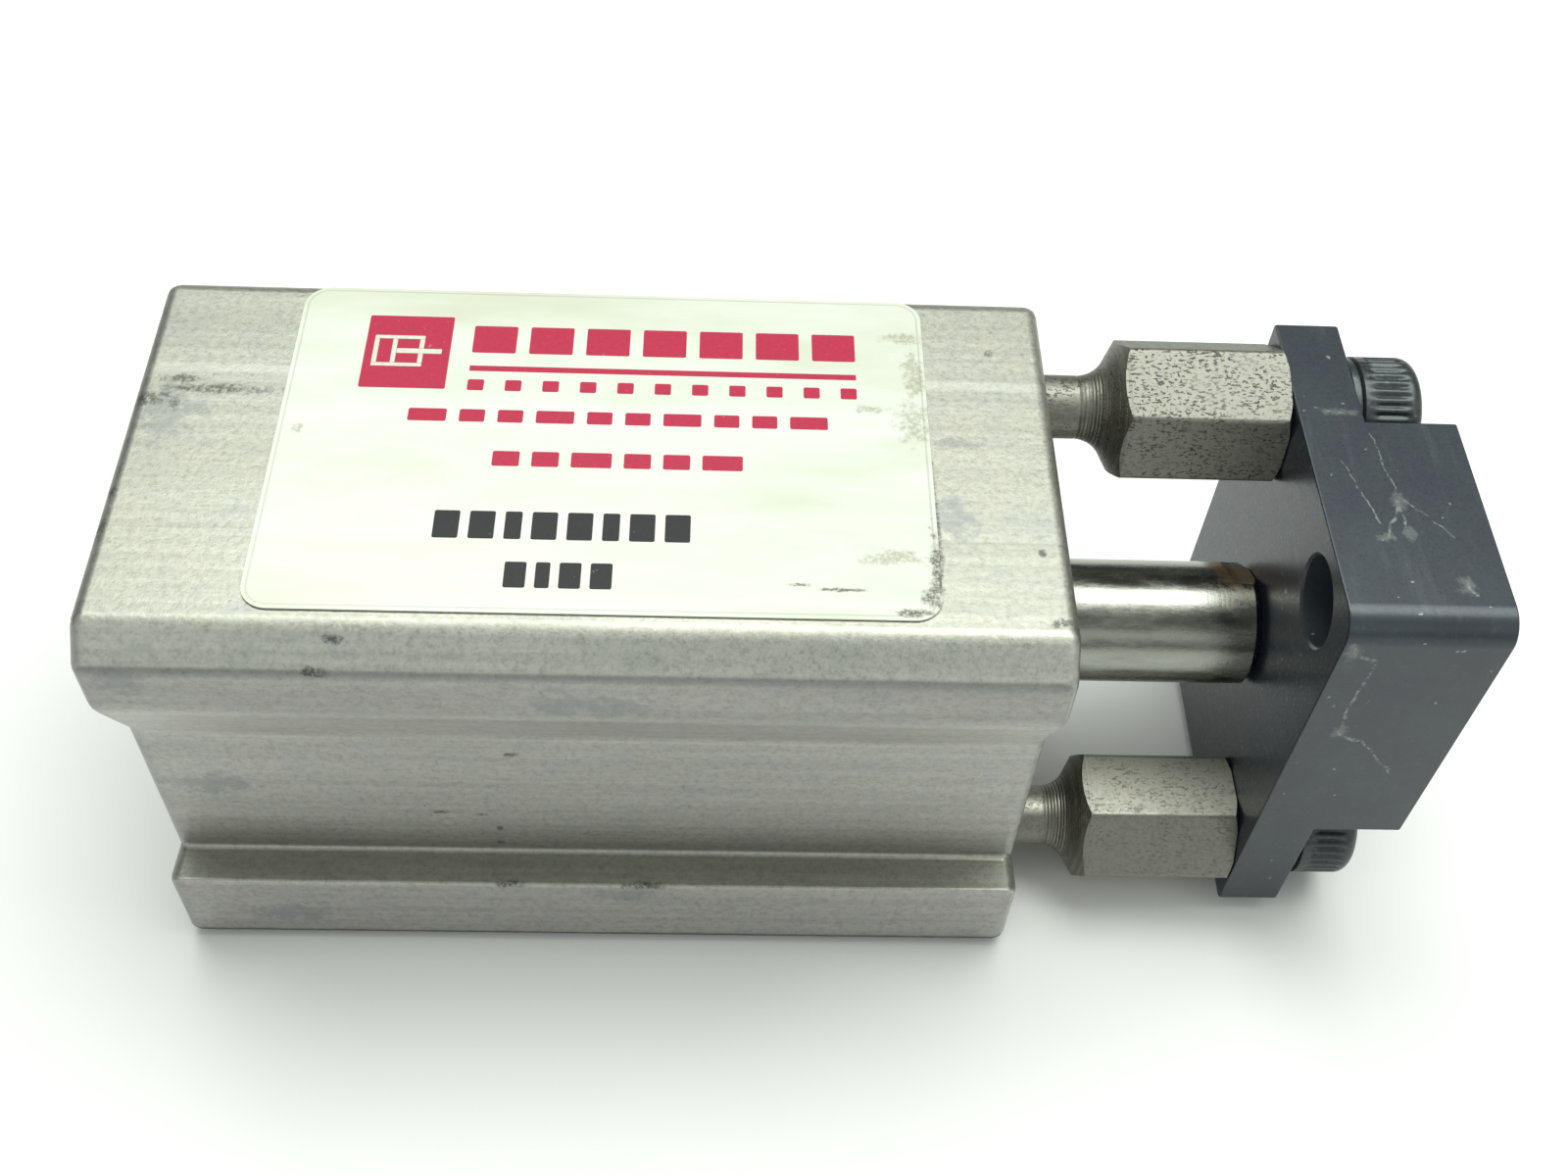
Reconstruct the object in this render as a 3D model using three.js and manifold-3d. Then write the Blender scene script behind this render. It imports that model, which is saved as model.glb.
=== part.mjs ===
// Compact guided air cylinder: an extruded aluminium body with a central piston rod, two guide rods
// on one diagonal, and a stepped tooling plate that all three rods carry.
// Millimetres, +Z up, +X from the closed rear end towards the tooling plate.
// The origin is the centre of the body's flat base.
import * as THREE from 'three';
import { mergeVertices } from 'three/addons/utils/BufferGeometryUtils.js';
import Module from 'manifold-3d';

const wasm = await Module();
wasm.setup();

// ---- driving dimensions ----
const bodyLength = 54.3;
const bodyWidth = 30;
const bodyHeight = 32.1;
const axisHeight = 16.65;        // piston rod axis above the base
const boreRadius = 9.525;
const stroke = 12.7;
const rodRadius = 4;
const guideRadius = 1.985;
const guideOffsetY = 7.7;        // guide axes from the rod axis, on the diagonal (+,+) and (-,-)
const guideOffsetZ = 11.95;
const hexAcrossFlats = 8.1;
const plateGap = 14.95;          // body front face to the plate's rear face, rods retracted
const plateWidth = 24;
const plateHeight = 31.2;
const plateThickness = 9.6;
const flangeThickness = 4;       // what the corner notches leave under the screw heads
const screwRadius = 2;
const screwHeadRadius = 3.6;
const portRadius = 2.1;

// ---- fits ----
const fixedGap = 0.04;           // between pieces fixed to each other
const runGap = 0.05;             // radial clearance of a sliding fit

// ---- fineness of round pieces ----
const boreSides = 36;
const rodSides = 32;
const guideSides = 24;
const ringSides = 8;             // round section of an o-ring

// ---- body profile ----
const topChamfer = 2.04;
const baseEdge = 0.5;
const webHalfWidth = 12.15;      // half the width between the side channels
const upperFlangeZ = 26.3;       // lower edge of the upper flange's upright face
const channelTopZ = 20.2;        // where the slanted underside meets the web
const ledgeInnerZ = 6.8;
const ledgeOuterZ = 7.25;
const mountHoleRadius = 1.7;
const mountHoleY = 7.1;          // fixing holes, on the free diagonal
const mountHoleZ = 11.6;

// ---- stations along X, measured from the body's rear face ----
const ringInset = 1.2;
const ringWidth = 1.1;
const grooveDepth = 0.8;
const rearHeadStart = ringInset + ringWidth + 0.1;
const rearHeadEnd = 7;
const rearNoseEnd = 8.6;
const bumperWidth = 1.1;
const pistonStart = 10;
const pistonEnd = 19.2;
const frontBumperStart = pistonEnd + stroke + 0.2;
const frontNoseStart = frontBumperStart + bumperWidth + fixedGap;
const frontHeadStart = frontNoseStart + 3;
const frontHeadEnd = bodyLength - rearHeadStart;
const frontBossEnd = bodyLength - 0.5;
const plateStart = bodyLength + plateGap;
const plateEnd = plateStart + plateThickness;

// ---- materials ----
function metal(color, roughness, metalness = 1) {
  return new THREE.MeshStandardMaterial({ color, roughness, metalness });
}
const extrusionFinish = metal(0xb9b8ae, 0.55, 0.8);
const headFinish = metal(0xa9abad, 0.4);
const blueAnodised = metal(0x1a2233, 0.35, 0.6);
const groundSteel = metal(0xc4c5c6, 0.18);
const turnedSteel = metal(0x9b978f, 0.35);
const blackOxide = metal(0x1d1e20, 0.45, 0.7);
const springSteel = metal(0x55534f, 0.4);
const bronze = metal(0x9c7440, 0.45);
const rubber = metal(0x151515, 0.75, 0);
const urethane = metal(0x8a5a2a, 0.6, 0);
const paper = metal(0xe4e3d4, 0.35, 0);

// ---- solids ----
// Position-only copy with shared corners and no flattened triangles.
function welded(geometry) {
  const bare = geometry.clone();
  bare.deleteAttribute('normal');
  bare.deleteAttribute('uv');
  const merged = mergeVertices(bare, 1e-4);
  const corners = merged.index.array;
  const kept = [];
  for (let i = 0; i < corners.length; i += 3) {
    const [a, b, c] = corners.slice(i, i + 3);
    if (a !== b && b !== c && c !== a) kept.push(a, b, c);
  }
  merged.setIndex(kept);
  return merged;
}

function toSolid(geometry) {
  const bare = welded(geometry);
  return new wasm.Manifold(new wasm.Mesh({
    numProp: 3,
    vertProperties: new Float32Array(bare.attributes.position.array),
    triVerts: new Uint32Array(bare.index.array),
  }));
}

function toGeometry(solid) {
  const mesh = solid.getMesh();
  const geometry = new THREE.BufferGeometry();
  geometry.setAttribute('position', new THREE.BufferAttribute(mesh.vertProperties, 3));
  geometry.setIndex(new THREE.BufferAttribute(mesh.triVerts, 1));
  return geometry;
}

function cutAll(geometry, cutters) {
  let solid = toSolid(geometry);
  for (const cutter of cutters) solid = solid.subtract(toSolid(cutter));
  return toGeometry(solid);
}

// Closed loop of [station, radius] points turned about the X axis.
function turned(loop, sides) {
  const points = loop.map(([station, radius]) => new THREE.Vector2(radius, station));
  if (THREE.ShapeUtils.isClockWise(points)) points.reverse();
  if (points.every((point) => point.x > 0)) points.push(points[0].clone());
  else while (points.at(-1).x > 0 || points[0].x > 0) points.push(points.shift());
  const geometry = new THREE.LatheGeometry(points, sides);
  geometry.rotateZ(-Math.PI / 2);
  return geometry;
}

function rod(start, end, radius, sides) {
  return turned([[start, 0], [start, radius], [end, radius], [end, 0]], sides);
}

function sleeve(start, end, innerRadius, outerRadius, sides) {
  return turned([
    [start, innerRadius], [start, outerRadius], [end, outerRadius], [end, innerRadius],
  ], sides);
}

function oRing(station, radius, sectionRadius, sides) {
  const loop = [];
  for (let i = 0; i < ringSides; i++) {
    const angle = (2 * Math.PI * (i + 0.5)) / ringSides;
    loop.push([station + sectionRadius * Math.cos(angle), radius + sectionRadius * Math.sin(angle)]);
  }
  return turned(loop, sides);
}

// Shape in the YZ plane through [y, z, corner radius] points.
function outline(corners) {
  const shape = new THREE.Shape();
  const count = corners.length;
  corners.forEach(([y, z, round = 0], i) => {
    const here = new THREE.Vector2(y, z);
    const before = new THREE.Vector2(...corners[(i + count - 1) % count]).sub(here).setLength(round);
    const after = new THREE.Vector2(...corners[(i + 1) % count]).sub(here).setLength(round);
    const enter = here.clone().add(before);
    const leave = here.clone().add(after);
    if (i === 0) shape.moveTo(enter.x, enter.y);
    else shape.lineTo(enter.x, enter.y);
    if (round > 0) shape.quadraticCurveTo(y, z, leave.x, leave.y);
  });
  shape.closePath();
  return shape;
}

// Pushes a YZ shape along X from one station to another.
function extruded(shape, start, end) {
  const geometry = new THREE.ExtrudeGeometry(shape, {
    depth: end - start, bevelEnabled: false, curveSegments: 4,
  });
  const axes = [[0, 1, 0], [0, 0, 1], [1, 0, 0]].map((axis) => new THREE.Vector3(...axis));
  geometry.applyMatrix4(new THREE.Matrix4().makeBasis(...axes));
  geometry.translate(start, 0, 0);
  return geometry;
}

function hexPrism(start, end, acrossFlats, turn) {
  const corner = acrossFlats / Math.sqrt(3);
  const points = [];
  for (let i = 0; i < 6; i++) {
    const angle = turn + (i * Math.PI) / 3;
    points.push([corner * Math.cos(angle), corner * Math.sin(angle)]);
  }
  return extruded(outline(points), start, end);
}

// ---- housing pieces ----
const guideHoleStart = 7;
const guideHoleRadius = 2.8;
const portStations = [9.4, frontNoseStart + 1.6];

// Extruded bar with a side channel along each side, bored through and grooved at both ends for the
// retaining rings. Ports enter the bore from the back.
function bodyExtrusion() {
  const half = bodyWidth / 2;
  const side = [
    [half, 0, baseEdge], [half, ledgeOuterZ, 0.4], [webHalfWidth, ledgeInnerZ, 0.5],
    [webHalfWidth, channelTopZ], [half, upperFlangeZ, 0.3], [half, bodyHeight - topChamfer, 0.3],
    [half - topChamfer, bodyHeight, 0.3],
  ];
  const mirrored = side.map(([y, z, round]) => [-y, z, round]).reverse();
  const bar = extruded(outline([...side, ...mirrored]), 0, bodyLength);

  const grooveRadius = boreRadius + grooveDepth;
  const past = 1;
  const frontGroove = bodyLength - ringInset;
  const bore = turned([
    [-past, 0], [-past, boreRadius],
    [ringInset, boreRadius], [ringInset, grooveRadius],
    [ringInset + ringWidth, grooveRadius], [ringInset + ringWidth, boreRadius],
    [frontGroove - ringWidth, boreRadius], [frontGroove - ringWidth, grooveRadius],
    [frontGroove, grooveRadius], [frontGroove, boreRadius],
    [bodyLength + past, boreRadius], [bodyLength + past, 0],
  ], boreSides).translate(0, 0, axisHeight);
  const cutters = [bore];
  for (const sign of [1, -1]) {
    cutters.push(rod(guideHoleStart, bodyLength + past, guideHoleRadius, guideSides)
      .translate(0, sign * guideOffsetY, axisHeight + sign * guideOffsetZ));
    cutters.push(rod(-past, bodyLength + past, mountHoleRadius, guideSides)
      .translate(0, -sign * mountHoleY, axisHeight + sign * mountHoleZ));
  }
  for (const station of portStations) {
    cutters.push(rod(boreRadius - 1, bodyWidth, portRadius, guideSides)
      .rotateZ(Math.PI / 2).translate(station, 0, axisHeight));
  }
  return cutAll(bar, cutters);
}

const headRadius = boreRadius - fixedGap;
const noseRadius = 7.2;
const oRingSection = 0.6;
const oRingRadius = headRadius - oRingSection - 0.02;
const headGrooveWidth = 1.6;
const headGrooveRadius = oRingRadius - oRingSection - 0.1;
const rearGrooveStation = 3.9;
const frontGrooveStation = 42;

function rearHead() {
  return turned([
    [rearHeadStart, 0], [rearHeadStart, headRadius],
    [rearGrooveStation, headRadius], [rearGrooveStation, headGrooveRadius],
    [rearGrooveStation + headGrooveWidth, headGrooveRadius],
    [rearGrooveStation + headGrooveWidth, headRadius],
    [rearHeadEnd, headRadius], [rearHeadEnd, noseRadius],
    [rearNoseEnd, noseRadius], [rearNoseEnd, 0],
  ], boreSides);
}

const bushingLength = 9;
const bushingRadius = 5.4;
const bushingStart = frontNoseStart + 1;
const lipRadius = rodRadius + 0.25;
const sealSeatRadius = 5.7;
const sealStart = 46.6;
const sealLength = 2.6;
const wiperStart = 51.3;
const bossRadius = 7;

function frontHead() {
  const sealEnd = sealStart + sealLength + 2 * fixedGap;
  const bushingSeat = bushingRadius + fixedGap;
  const bushingEnd = bushingStart + bushingLength + fixedGap;
  return turned([
    [frontNoseStart, bushingSeat], [frontNoseStart, noseRadius],
    [frontHeadStart, noseRadius], [frontHeadStart, headRadius],
    [frontGrooveStation, headRadius], [frontGrooveStation, headGrooveRadius],
    [frontGrooveStation + headGrooveWidth, headGrooveRadius],
    [frontGrooveStation + headGrooveWidth, headRadius],
    [frontHeadEnd, headRadius], [frontHeadEnd, bossRadius],
    [frontBossEnd, bossRadius], [frontBossEnd, sealSeatRadius],
    [wiperStart, sealSeatRadius], [wiperStart, lipRadius],
    [sealEnd, lipRadius], [sealEnd, sealSeatRadius],
    [sealStart, sealSeatRadius], [sealStart, lipRadius],
    [bushingEnd, lipRadius], [bushingEnd, bushingSeat],
  ], boreSides);
}

// Internal retaining ring with a gap between two lugs.
function retainingRing(start) {
  const outer = boreRadius + grooveDepth - 0.1;
  const inner = 7.9;
  const width = ringWidth - 2 * fixedGap;
  const ring = sleeve(start + fixedGap, start + fixedGap + width, inner, outer, boreSides);
  const gap = new THREE.BoxGeometry(4 * width, 3.4, 2 * outer).translate(start, 0, -outer);
  return cutAll(ring, [gap]);
}

// Lip seal: a ring with a V groove in the face on the pressure side.
function lipSeal(start, length, innerRadius, outerRadius, sides) {
  const middle = (innerRadius + outerRadius) / 2;
  const end = start + length;
  return turned([
    [end, innerRadius], [end, outerRadius], [start, outerRadius],
    [start, middle + 0.25], [start + 0.45 * length, middle], [start, middle - 0.25],
    [start, innerRadius],
  ], sides);
}

function rodWiper() {
  const start = wiperStart + fixedGap;
  const end = frontBossEnd - 0.1;
  const inner = rodRadius + runGap;
  const outer = sealSeatRadius - fixedGap;
  return turned([
    [start, inner + 0.5], [start, outer], [end, outer], [end + 0.5, inner + 0.3],
    [end + 0.5, inner], [end - 0.4, inner],
  ], rodSides);
}

function labelPlate() {
  const [length, width, thickness, round] = [38, 25, 0.12, 1.6];
  const half = length / 2;
  const shape = outline([
    [-half, -width / 2, round], [half, -width / 2, round],
    [half, width / 2, round], [-half, width / 2, round],
  ]);
  return new THREE.ExtrudeGeometry(shape, { depth: thickness, bevelEnabled: false, curveSegments: 4 });
}

// ---- carriage pieces ----
const pistonRadius = boreRadius - 0.1;
const spigotRadius = 2.5;
const nutWidth = 2.2;
const nutSeatRadius = 4.1;
const pistonGrooveStart = 13.9;
const pistonGrooveWidth = 2.6;
const pistonGrooveRadius = 7.2;

function piston() {
  const hole = spigotRadius + fixedGap;
  const seat = pistonStart + nutWidth + 0.4;
  const grooveEnd = pistonGrooveStart + pistonGrooveWidth;
  return turned([
    [pistonStart, nutSeatRadius], [pistonStart, pistonRadius],
    [pistonGrooveStart, pistonRadius], [pistonGrooveStart, pistonGrooveRadius],
    [grooveEnd, pistonGrooveRadius], [grooveEnd, pistonRadius],
    [pistonEnd, pistonRadius], [pistonEnd, hole], [seat, hole], [seat, nutSeatRadius],
  ], boreSides);
}

function pistonNut() {
  const start = pistonStart + 0.2;
  const hex = hexPrism(start, start + nutWidth, 6.8, 0);
  return cutAll(hex, [rod(start - 1, start + nutWidth + 1, spigotRadius + fixedGap, rodSides)]);
}

const flatsWidth = 1.7;
const flatsAcross = 7;
const flatsTurn = (60 * Math.PI) / 180;   // one flat faces up and a little back
const threadGap = 0.05;
const threadRadius = screwRadius + threadGap;
const rodEnd = plateStart - 0.06;
const rodThreadDepth = 9;

// Ground rod with a spigot for the piston, and two wrench flats beside the plate.
function pistonRod() {
  const edge = 0.45;
  const turnedRod = turned([
    [pistonStart + 0.3, 0], [pistonStart + 0.3, spigotRadius],
    [pistonEnd + fixedGap, spigotRadius], [pistonEnd + fixedGap, rodRadius],
    [rodEnd - edge, rodRadius], [rodEnd, rodRadius - edge],
    [rodEnd, threadRadius], [rodEnd - rodThreadDepth, threadRadius], [rodEnd - rodThreadDepth, 0],
  ], rodSides);
  const flats = [1, -1].map((sign) => new THREE.BoxGeometry(2 * flatsWidth, rodRadius, 2 * rodRadius)
    .translate(rodEnd, sign * (flatsAcross / 2 + rodRadius / 2), 0)
    .rotateX(flatsTurn));
  return cutAll(turnedRod, flats);
}

const neckEnd = bodyLength + 2.3;
const flareRadius = 2.1;
const flareAngle = Math.PI / 3;
const guideStart = 8;
const guideThreadDepth = 8;

// Slim rod that flares, first in an arc and then as a cone, into a hexagonal end drilled for the
// plate screw. Both ends of the hexagon are turned to a chamfer.
function guideRod(turn) {
  const steps = 5;
  const flare = [];
  for (let i = 0; i <= steps; i++) {
    const angle = (i * flareAngle) / steps;
    flare.push([
      neckEnd + flareRadius * Math.sin(angle),
      guideRadius + flareRadius * (1 - Math.cos(angle)),
    ]);
  }
  const corner = hexAcrossFlats / Math.sqrt(3) + 0.02;
  const [arcEnd, arcEndRadius] = flare.at(-1);
  const coneEnd = arcEnd + (corner - arcEndRadius) / Math.tan(flareAngle);
  const edge = 0.5;
  const turnedRod = turned([
    [guideStart, 0], [guideStart, guideRadius - 0.3], [guideStart + 0.3, guideRadius],
    ...flare, [coneEnd, corner], [rodEnd - 0.6 * edge, corner], [rodEnd, corner - edge],
    [rodEnd, threadRadius], [rodEnd - guideThreadDepth, threadRadius],
    [rodEnd - guideThreadDepth, 0],
  ], guideSides);
  const hex = hexPrism(guideStart - 1, rodEnd + 1, hexAcrossFlats, turn);
  return toGeometry(toSolid(turnedRod).intersect(toSolid(hex)));
}

const washerWidth = 0.55;
const headLength = 3.85;
const socketAcross = 3;
const socketDepth = 2.4;

// Socket head screw seen from its head: the socket opens towards +X.
function socketScrew(headStart, shankLength, headRadiusHere, length) {
  const edge = 0.35;
  const headEnd = headStart + length;
  const screw = turned([
    [headStart - shankLength, 0], [headStart - shankLength, screwRadius],
    [headStart, screwRadius], [headStart, headRadiusHere],
    [headEnd - edge, headRadiusHere], [headEnd, headRadiusHere - edge], [headEnd, 0],
  ], rodSides);
  return cutAll(screw, [hexPrism(headEnd - socketDepth, headEnd + 1, socketAcross, 0)]);
}

const plateHoleRadius = 2.7;
const screwHoleRadius = screwRadius + 0.25;
const boreForHeadRadius = 4;
const rodHeadRadius = 3.5;
const rodHeadDepth = 4.4;
const notchWidth = 8.4;
const notchHeight = 9.5;

// Rectangular block, notched at two opposite corners so that thin flanges stay under the screws.
function toolingPlate() {
  const halfWidth = plateWidth / 2;
  const halfHeight = plateHeight / 2;
  const big = 1.75;
  const small = 0.4;
  const block = extruded(outline([
    [-halfWidth, -halfHeight, small], [halfWidth, -halfHeight, big],
    [halfWidth, halfHeight, small], [-halfWidth, halfHeight, big],
  ]), plateStart, plateEnd);
  const past = 2;
  const cutters = [];
  for (const sign of [1, -1]) {
    cutters.push(new THREE.BoxGeometry(plateThickness, notchWidth + past, notchHeight + past)
      .translate(
        plateStart + flangeThickness + plateThickness / 2,
        sign * (halfWidth + (past - notchWidth) / 2),
        sign * (halfHeight + (past - notchHeight) / 2),
      ));
    cutters.push(rod(plateStart - past, plateEnd + past, screwHoleRadius, guideSides)
      .translate(0, sign * guideOffsetY, sign * guideOffsetZ));
    cutters.push(rod(plateStart - past, plateEnd + past, plateHoleRadius, guideSides)
      .translate(0, -sign * mountHoleY, sign * mountHoleZ));
  }
  cutters.push(rod(plateStart - past, plateEnd + past, screwHoleRadius, guideSides));
  cutters.push(rod(plateEnd - rodHeadDepth, plateEnd + past, boreForHeadRadius, guideSides));
  return cutAll(block, cutters);
}

// ---- assembly ----
const group = new THREE.Group();
const fromRear = new THREE.Group();
fromRear.position.x = -bodyLength / 2;
group.add(fromRear);
const onAxis = new THREE.Group();
onAxis.position.z = axisHeight;
fromRear.add(onAxis);

function place(parent, name, geometry, material) {
  const mesh = new THREE.Mesh(geometry, material);
  mesh.name = name;
  parent.add(mesh);
  return mesh;
}

place(fromRear, 'body_extrusion', bodyExtrusion(), extrusionFinish);
const label = place(fromRear, 'label', labelPlate(), paper);
label.position.set(27.75, 0.4, bodyHeight + 0.03);

place(onAxis, 'rear_head', rearHead(), headFinish);
place(onAxis, 'rear_head_o_ring',
  oRing(rearGrooveStation + headGrooveWidth / 2, oRingRadius, oRingSection, boreSides), rubber);
place(onAxis, 'rear_retaining_ring', retainingRing(ringInset), springSteel);
place(onAxis, 'rear_bumper',
  sleeve(rearNoseEnd + fixedGap, rearNoseEnd + bumperWidth, 3, 6.4, rodSides), urethane);
place(onAxis, 'front_head', frontHead(), headFinish);
place(onAxis, 'front_head_o_ring',
  oRing(frontGrooveStation + headGrooveWidth / 2, oRingRadius, oRingSection, boreSides), rubber);
place(onAxis, 'front_retaining_ring', retainingRing(bodyLength - ringInset - ringWidth), springSteel);
place(onAxis, 'front_bumper',
  sleeve(frontBumperStart, frontBumperStart + bumperWidth, 4.6, noseRadius, rodSides), urethane);
place(onAxis, 'rod_bushing',
  sleeve(bushingStart, bushingStart + bushingLength, rodRadius + runGap, bushingRadius, rodSides),
  bronze);
place(onAxis, 'rod_seal',
  lipSeal(sealStart + fixedGap, sealLength, rodRadius + runGap, sealSeatRadius - fixedGap, rodSides),
  rubber);
place(onAxis, 'rod_wiper', rodWiper(), rubber);

place(onAxis, 'piston', piston(), headFinish);
place(onAxis, 'piston_seal',
  lipSeal(pistonGrooveStart + fixedGap, pistonGrooveWidth - 2 * fixedGap,
    pistonGrooveRadius + fixedGap, boreRadius - runGap, boreSides), rubber);
place(onAxis, 'piston_nut', pistonNut(), springSteel);
place(onAxis, 'piston_rod', pistonRod(), groundSteel);
place(onAxis, 'tooling_plate', toolingPlate(), blueAnodised);
place(onAxis, 'rod_screw',
  socketScrew(plateEnd - rodHeadDepth + fixedGap, 11.5, rodHeadRadius, 4), blackOxide);

// Each guide line has two bushings in the body, a rod, a washer and a screw.
const guideLines = [
  { side: 'upper', sign: 1, turn: (-8 * Math.PI) / 180 + Math.PI / 2 },
  { side: 'lower', sign: -1, turn: 0 },
];
const guideBushings = { rear: [22, 32], front: [43, bodyLength - 0.2] };
for (const { side, sign, turn } of guideLines) {
  const line = new THREE.Group();
  line.position.set(0, sign * guideOffsetY, sign * guideOffsetZ);
  onAxis.add(line);
  for (const [end, [from, to]] of Object.entries(guideBushings)) {
    place(line, `${side}_guide_bushing_${end}`,
      sleeve(from, to, guideRadius + runGap, guideHoleRadius - fixedGap, guideSides), bronze);
  }
  place(line, `${side}_guide_rod`, guideRod(turn), turnedSteel);
  const seat = plateStart + flangeThickness + fixedGap;
  place(line, `${side}_screw_washer`,
    sleeve(seat, seat + washerWidth, screwRadius + 0.1, screwHeadRadius - 0.1, rodSides), blackOxide);
  const underHead = seat + washerWidth + fixedGap;
  place(line, `${side}_guide_screw`,
    socketScrew(underHead, 11, screwHeadRadius, headLength), blackOxide);
}

export default group;
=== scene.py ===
"""Looks for a compact guided air cylinder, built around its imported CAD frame.

Lengths are millimetres, which mesh_piece() turns into metres. Only the light and the camera are placed
in metres. The origin is the centre of the body's flat base, +X runs along the rods towards the tooling
plate and +Z is up.
"""
import math
import random

import bmesh
import bpy
from mathutils import Matrix, Vector


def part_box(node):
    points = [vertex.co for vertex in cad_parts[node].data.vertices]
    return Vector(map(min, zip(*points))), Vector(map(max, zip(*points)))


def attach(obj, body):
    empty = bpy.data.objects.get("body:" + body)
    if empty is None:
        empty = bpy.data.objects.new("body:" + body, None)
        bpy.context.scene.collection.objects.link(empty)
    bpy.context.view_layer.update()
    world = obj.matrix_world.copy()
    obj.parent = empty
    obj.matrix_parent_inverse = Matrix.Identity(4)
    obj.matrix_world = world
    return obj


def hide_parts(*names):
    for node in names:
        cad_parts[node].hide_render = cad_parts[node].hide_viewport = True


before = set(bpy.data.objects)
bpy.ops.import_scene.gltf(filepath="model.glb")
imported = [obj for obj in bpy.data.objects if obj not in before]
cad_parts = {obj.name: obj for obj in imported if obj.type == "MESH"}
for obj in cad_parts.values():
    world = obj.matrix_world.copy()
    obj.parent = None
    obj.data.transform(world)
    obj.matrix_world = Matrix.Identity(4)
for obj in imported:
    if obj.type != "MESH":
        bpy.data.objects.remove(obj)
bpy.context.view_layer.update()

MM = 0.001
TAU = 2 * math.pi


# ---------------------------------------------------------------- sizes from the frame
def box_mm(node):
    """Lowest and highest corner of a CAD node, in millimetres."""
    low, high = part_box(node)
    return Vector(low) / MM, Vector(high) / MM


def middle(node):
    """The centre of a CAD node's box, in millimetres."""
    low, high = box_mm(node)
    return (low + high) / 2


BODY_LOW, BODY_HIGH = box_mm("body_extrusion")
REAR, FRONT = BODY_LOW.x, BODY_HIGH.x
HALF_WIDTH, TOP = BODY_HIGH.y, BODY_HIGH.z
PLATE_LOW, PLATE_HIGH = box_mm("tooling_plate")
AXIS = middle("piston_rod")
UPPER = middle("upper_guide_bushing_rear")
LOWER = middle("lower_guide_bushing_rear")

# Sizes repeated from the CAD source.
TOP_CHAMFER = 2.04
WEB_HALF_WIDTH = 12.15
UPPER_FLANGE_Z = 26.3
CHANNEL_TOP_Z = 20.2
LEDGE_INNER_Z = 6.8
LEDGE_OUTER_Z = 7.25
BORE_RADIUS = 9.525
RING_INSET = 1.2
RING_WIDTH = 1.1
GROOVE_DEPTH = 0.8
HEAD_RADIUS = 9.485
HEAD_INSET = 2.4
BOSS_RADIUS = 7.0
LIP_RADIUS = 4.25
WIPER_SEAT_RADIUS = 5.7
WIPER_SEAT_INSET = 3.0
GUIDE_HOLE_RADIUS = 2.8
MOUNT_HOLE_RADIUS = 1.7
MOUNT_HOLE_Y = 7.1
MOUNT_HOLE_Z = 11.6
PORT_RADIUS = 2.1
PORT_STATIONS = (9.4, 34.84)
ROD_RADIUS = 4.0
GUIDE_RADIUS = 1.985
NECK_LENGTH = 2.3
HEX_ACROSS = 8.1
FLANGE_THICKNESS = 4.0
NOTCH_WIDTH = 8.4
NOTCH_HEIGHT = 9.5
PLATE_HOLE_RADIUS = 2.7
LABEL_CORNER = 1.6
SCREW_RADIUS = 2.0
SCREW_HOLE_RADIUS = 2.25
SCREW_HEAD_RADIUS = 3.6
SCREW_RECESS_RADIUS = 4.0
SCREW_RECESS_DEPTH = 4.4
THREAD_RADIUS = 2.05
SPIGOT_RADIUS = 2.5
ROD_SHOULDER = 19.24
GUIDE_HOLE_START = 7.0
NOSE_RADIUS = 7.2
BUSHING_SEAT_RADIUS = 5.44
HEAD_GROOVE_RADIUS = 8.1
REAR_HEAD_GROOVE = (1.5, 3.1)
FRONT_HEAD_GROOVE = (42.0, 43.6)
SEAL_GROOVE = (46.6, 49.28)

# Places that several pieces share.
GUIDES = (("upper", UPPER), ("lower", LOWER))
MOUNT_HOLES = [AXIS + Vector((0, -sign * MOUNT_HOLE_Y, sign * MOUNT_HOLE_Z)) for sign in (1, -1)]

# The floor, in millimetres.
FLOOR_LEVEL = -0.35
FLOOR_RADIUS = 2500

# Light and camera, in metres and degrees.
BACK_FILL = 0.18
FRONT_FILL = 1.15
LIGHT_TINT = (0.955, 1.0, 0.945)
# Where whoever holds the camera keeps light from the object.
PHOTOGRAPHER = Vector((0.06, -0.60, 0.79)).normalized()
SOFTBOX_PLACE = (0.08, 0.18, 0.62)
SOFTBOX_SIZE = (0.78, 0.40)
SOFTBOX_RADIANCE = 5.6
SOFTBOX_AIM = (0.01, 0, 0.02)
SENSOR_WIDTH_MM = 36
FOCAL_LENGTH_MM = 40.38
CAMERA_PLACE = (0.00694, -0.06916, 0.10793)
CAMERA_DEGREES = (37.98, -2.57, -0.54)


# ---------------------------------------------------------------- outline helpers
def filleted(points, steps=5):
    """Replaces each (a, b, radius) corner of a closed outline by an arc of that radius."""
    outline = []
    for i, (a, b, *radius) in enumerate(points):
        radius = radius[0] if radius else 0
        if radius == 0:
            outline.append((a, b))
            continue
        here = Vector((a, b))
        before = (Vector(points[i - 1][:2]) - here).normalized()
        after = (Vector(points[(i + 1) % len(points)][:2]) - here).normalized()
        half = before.angle(after) / 2
        centre = here + (before + after).normalized() * radius / math.sin(half)
        reach = radius / math.tan(half)
        start = here + before * reach - centre
        end = here + after * reach - centre
        sweep = start.angle_signed(end)
        for step in range(steps + 1):
            turned = Matrix.Rotation(-sweep * step / steps, 2) @ start
            outline.append(tuple(centre + turned))
    return outline


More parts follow.
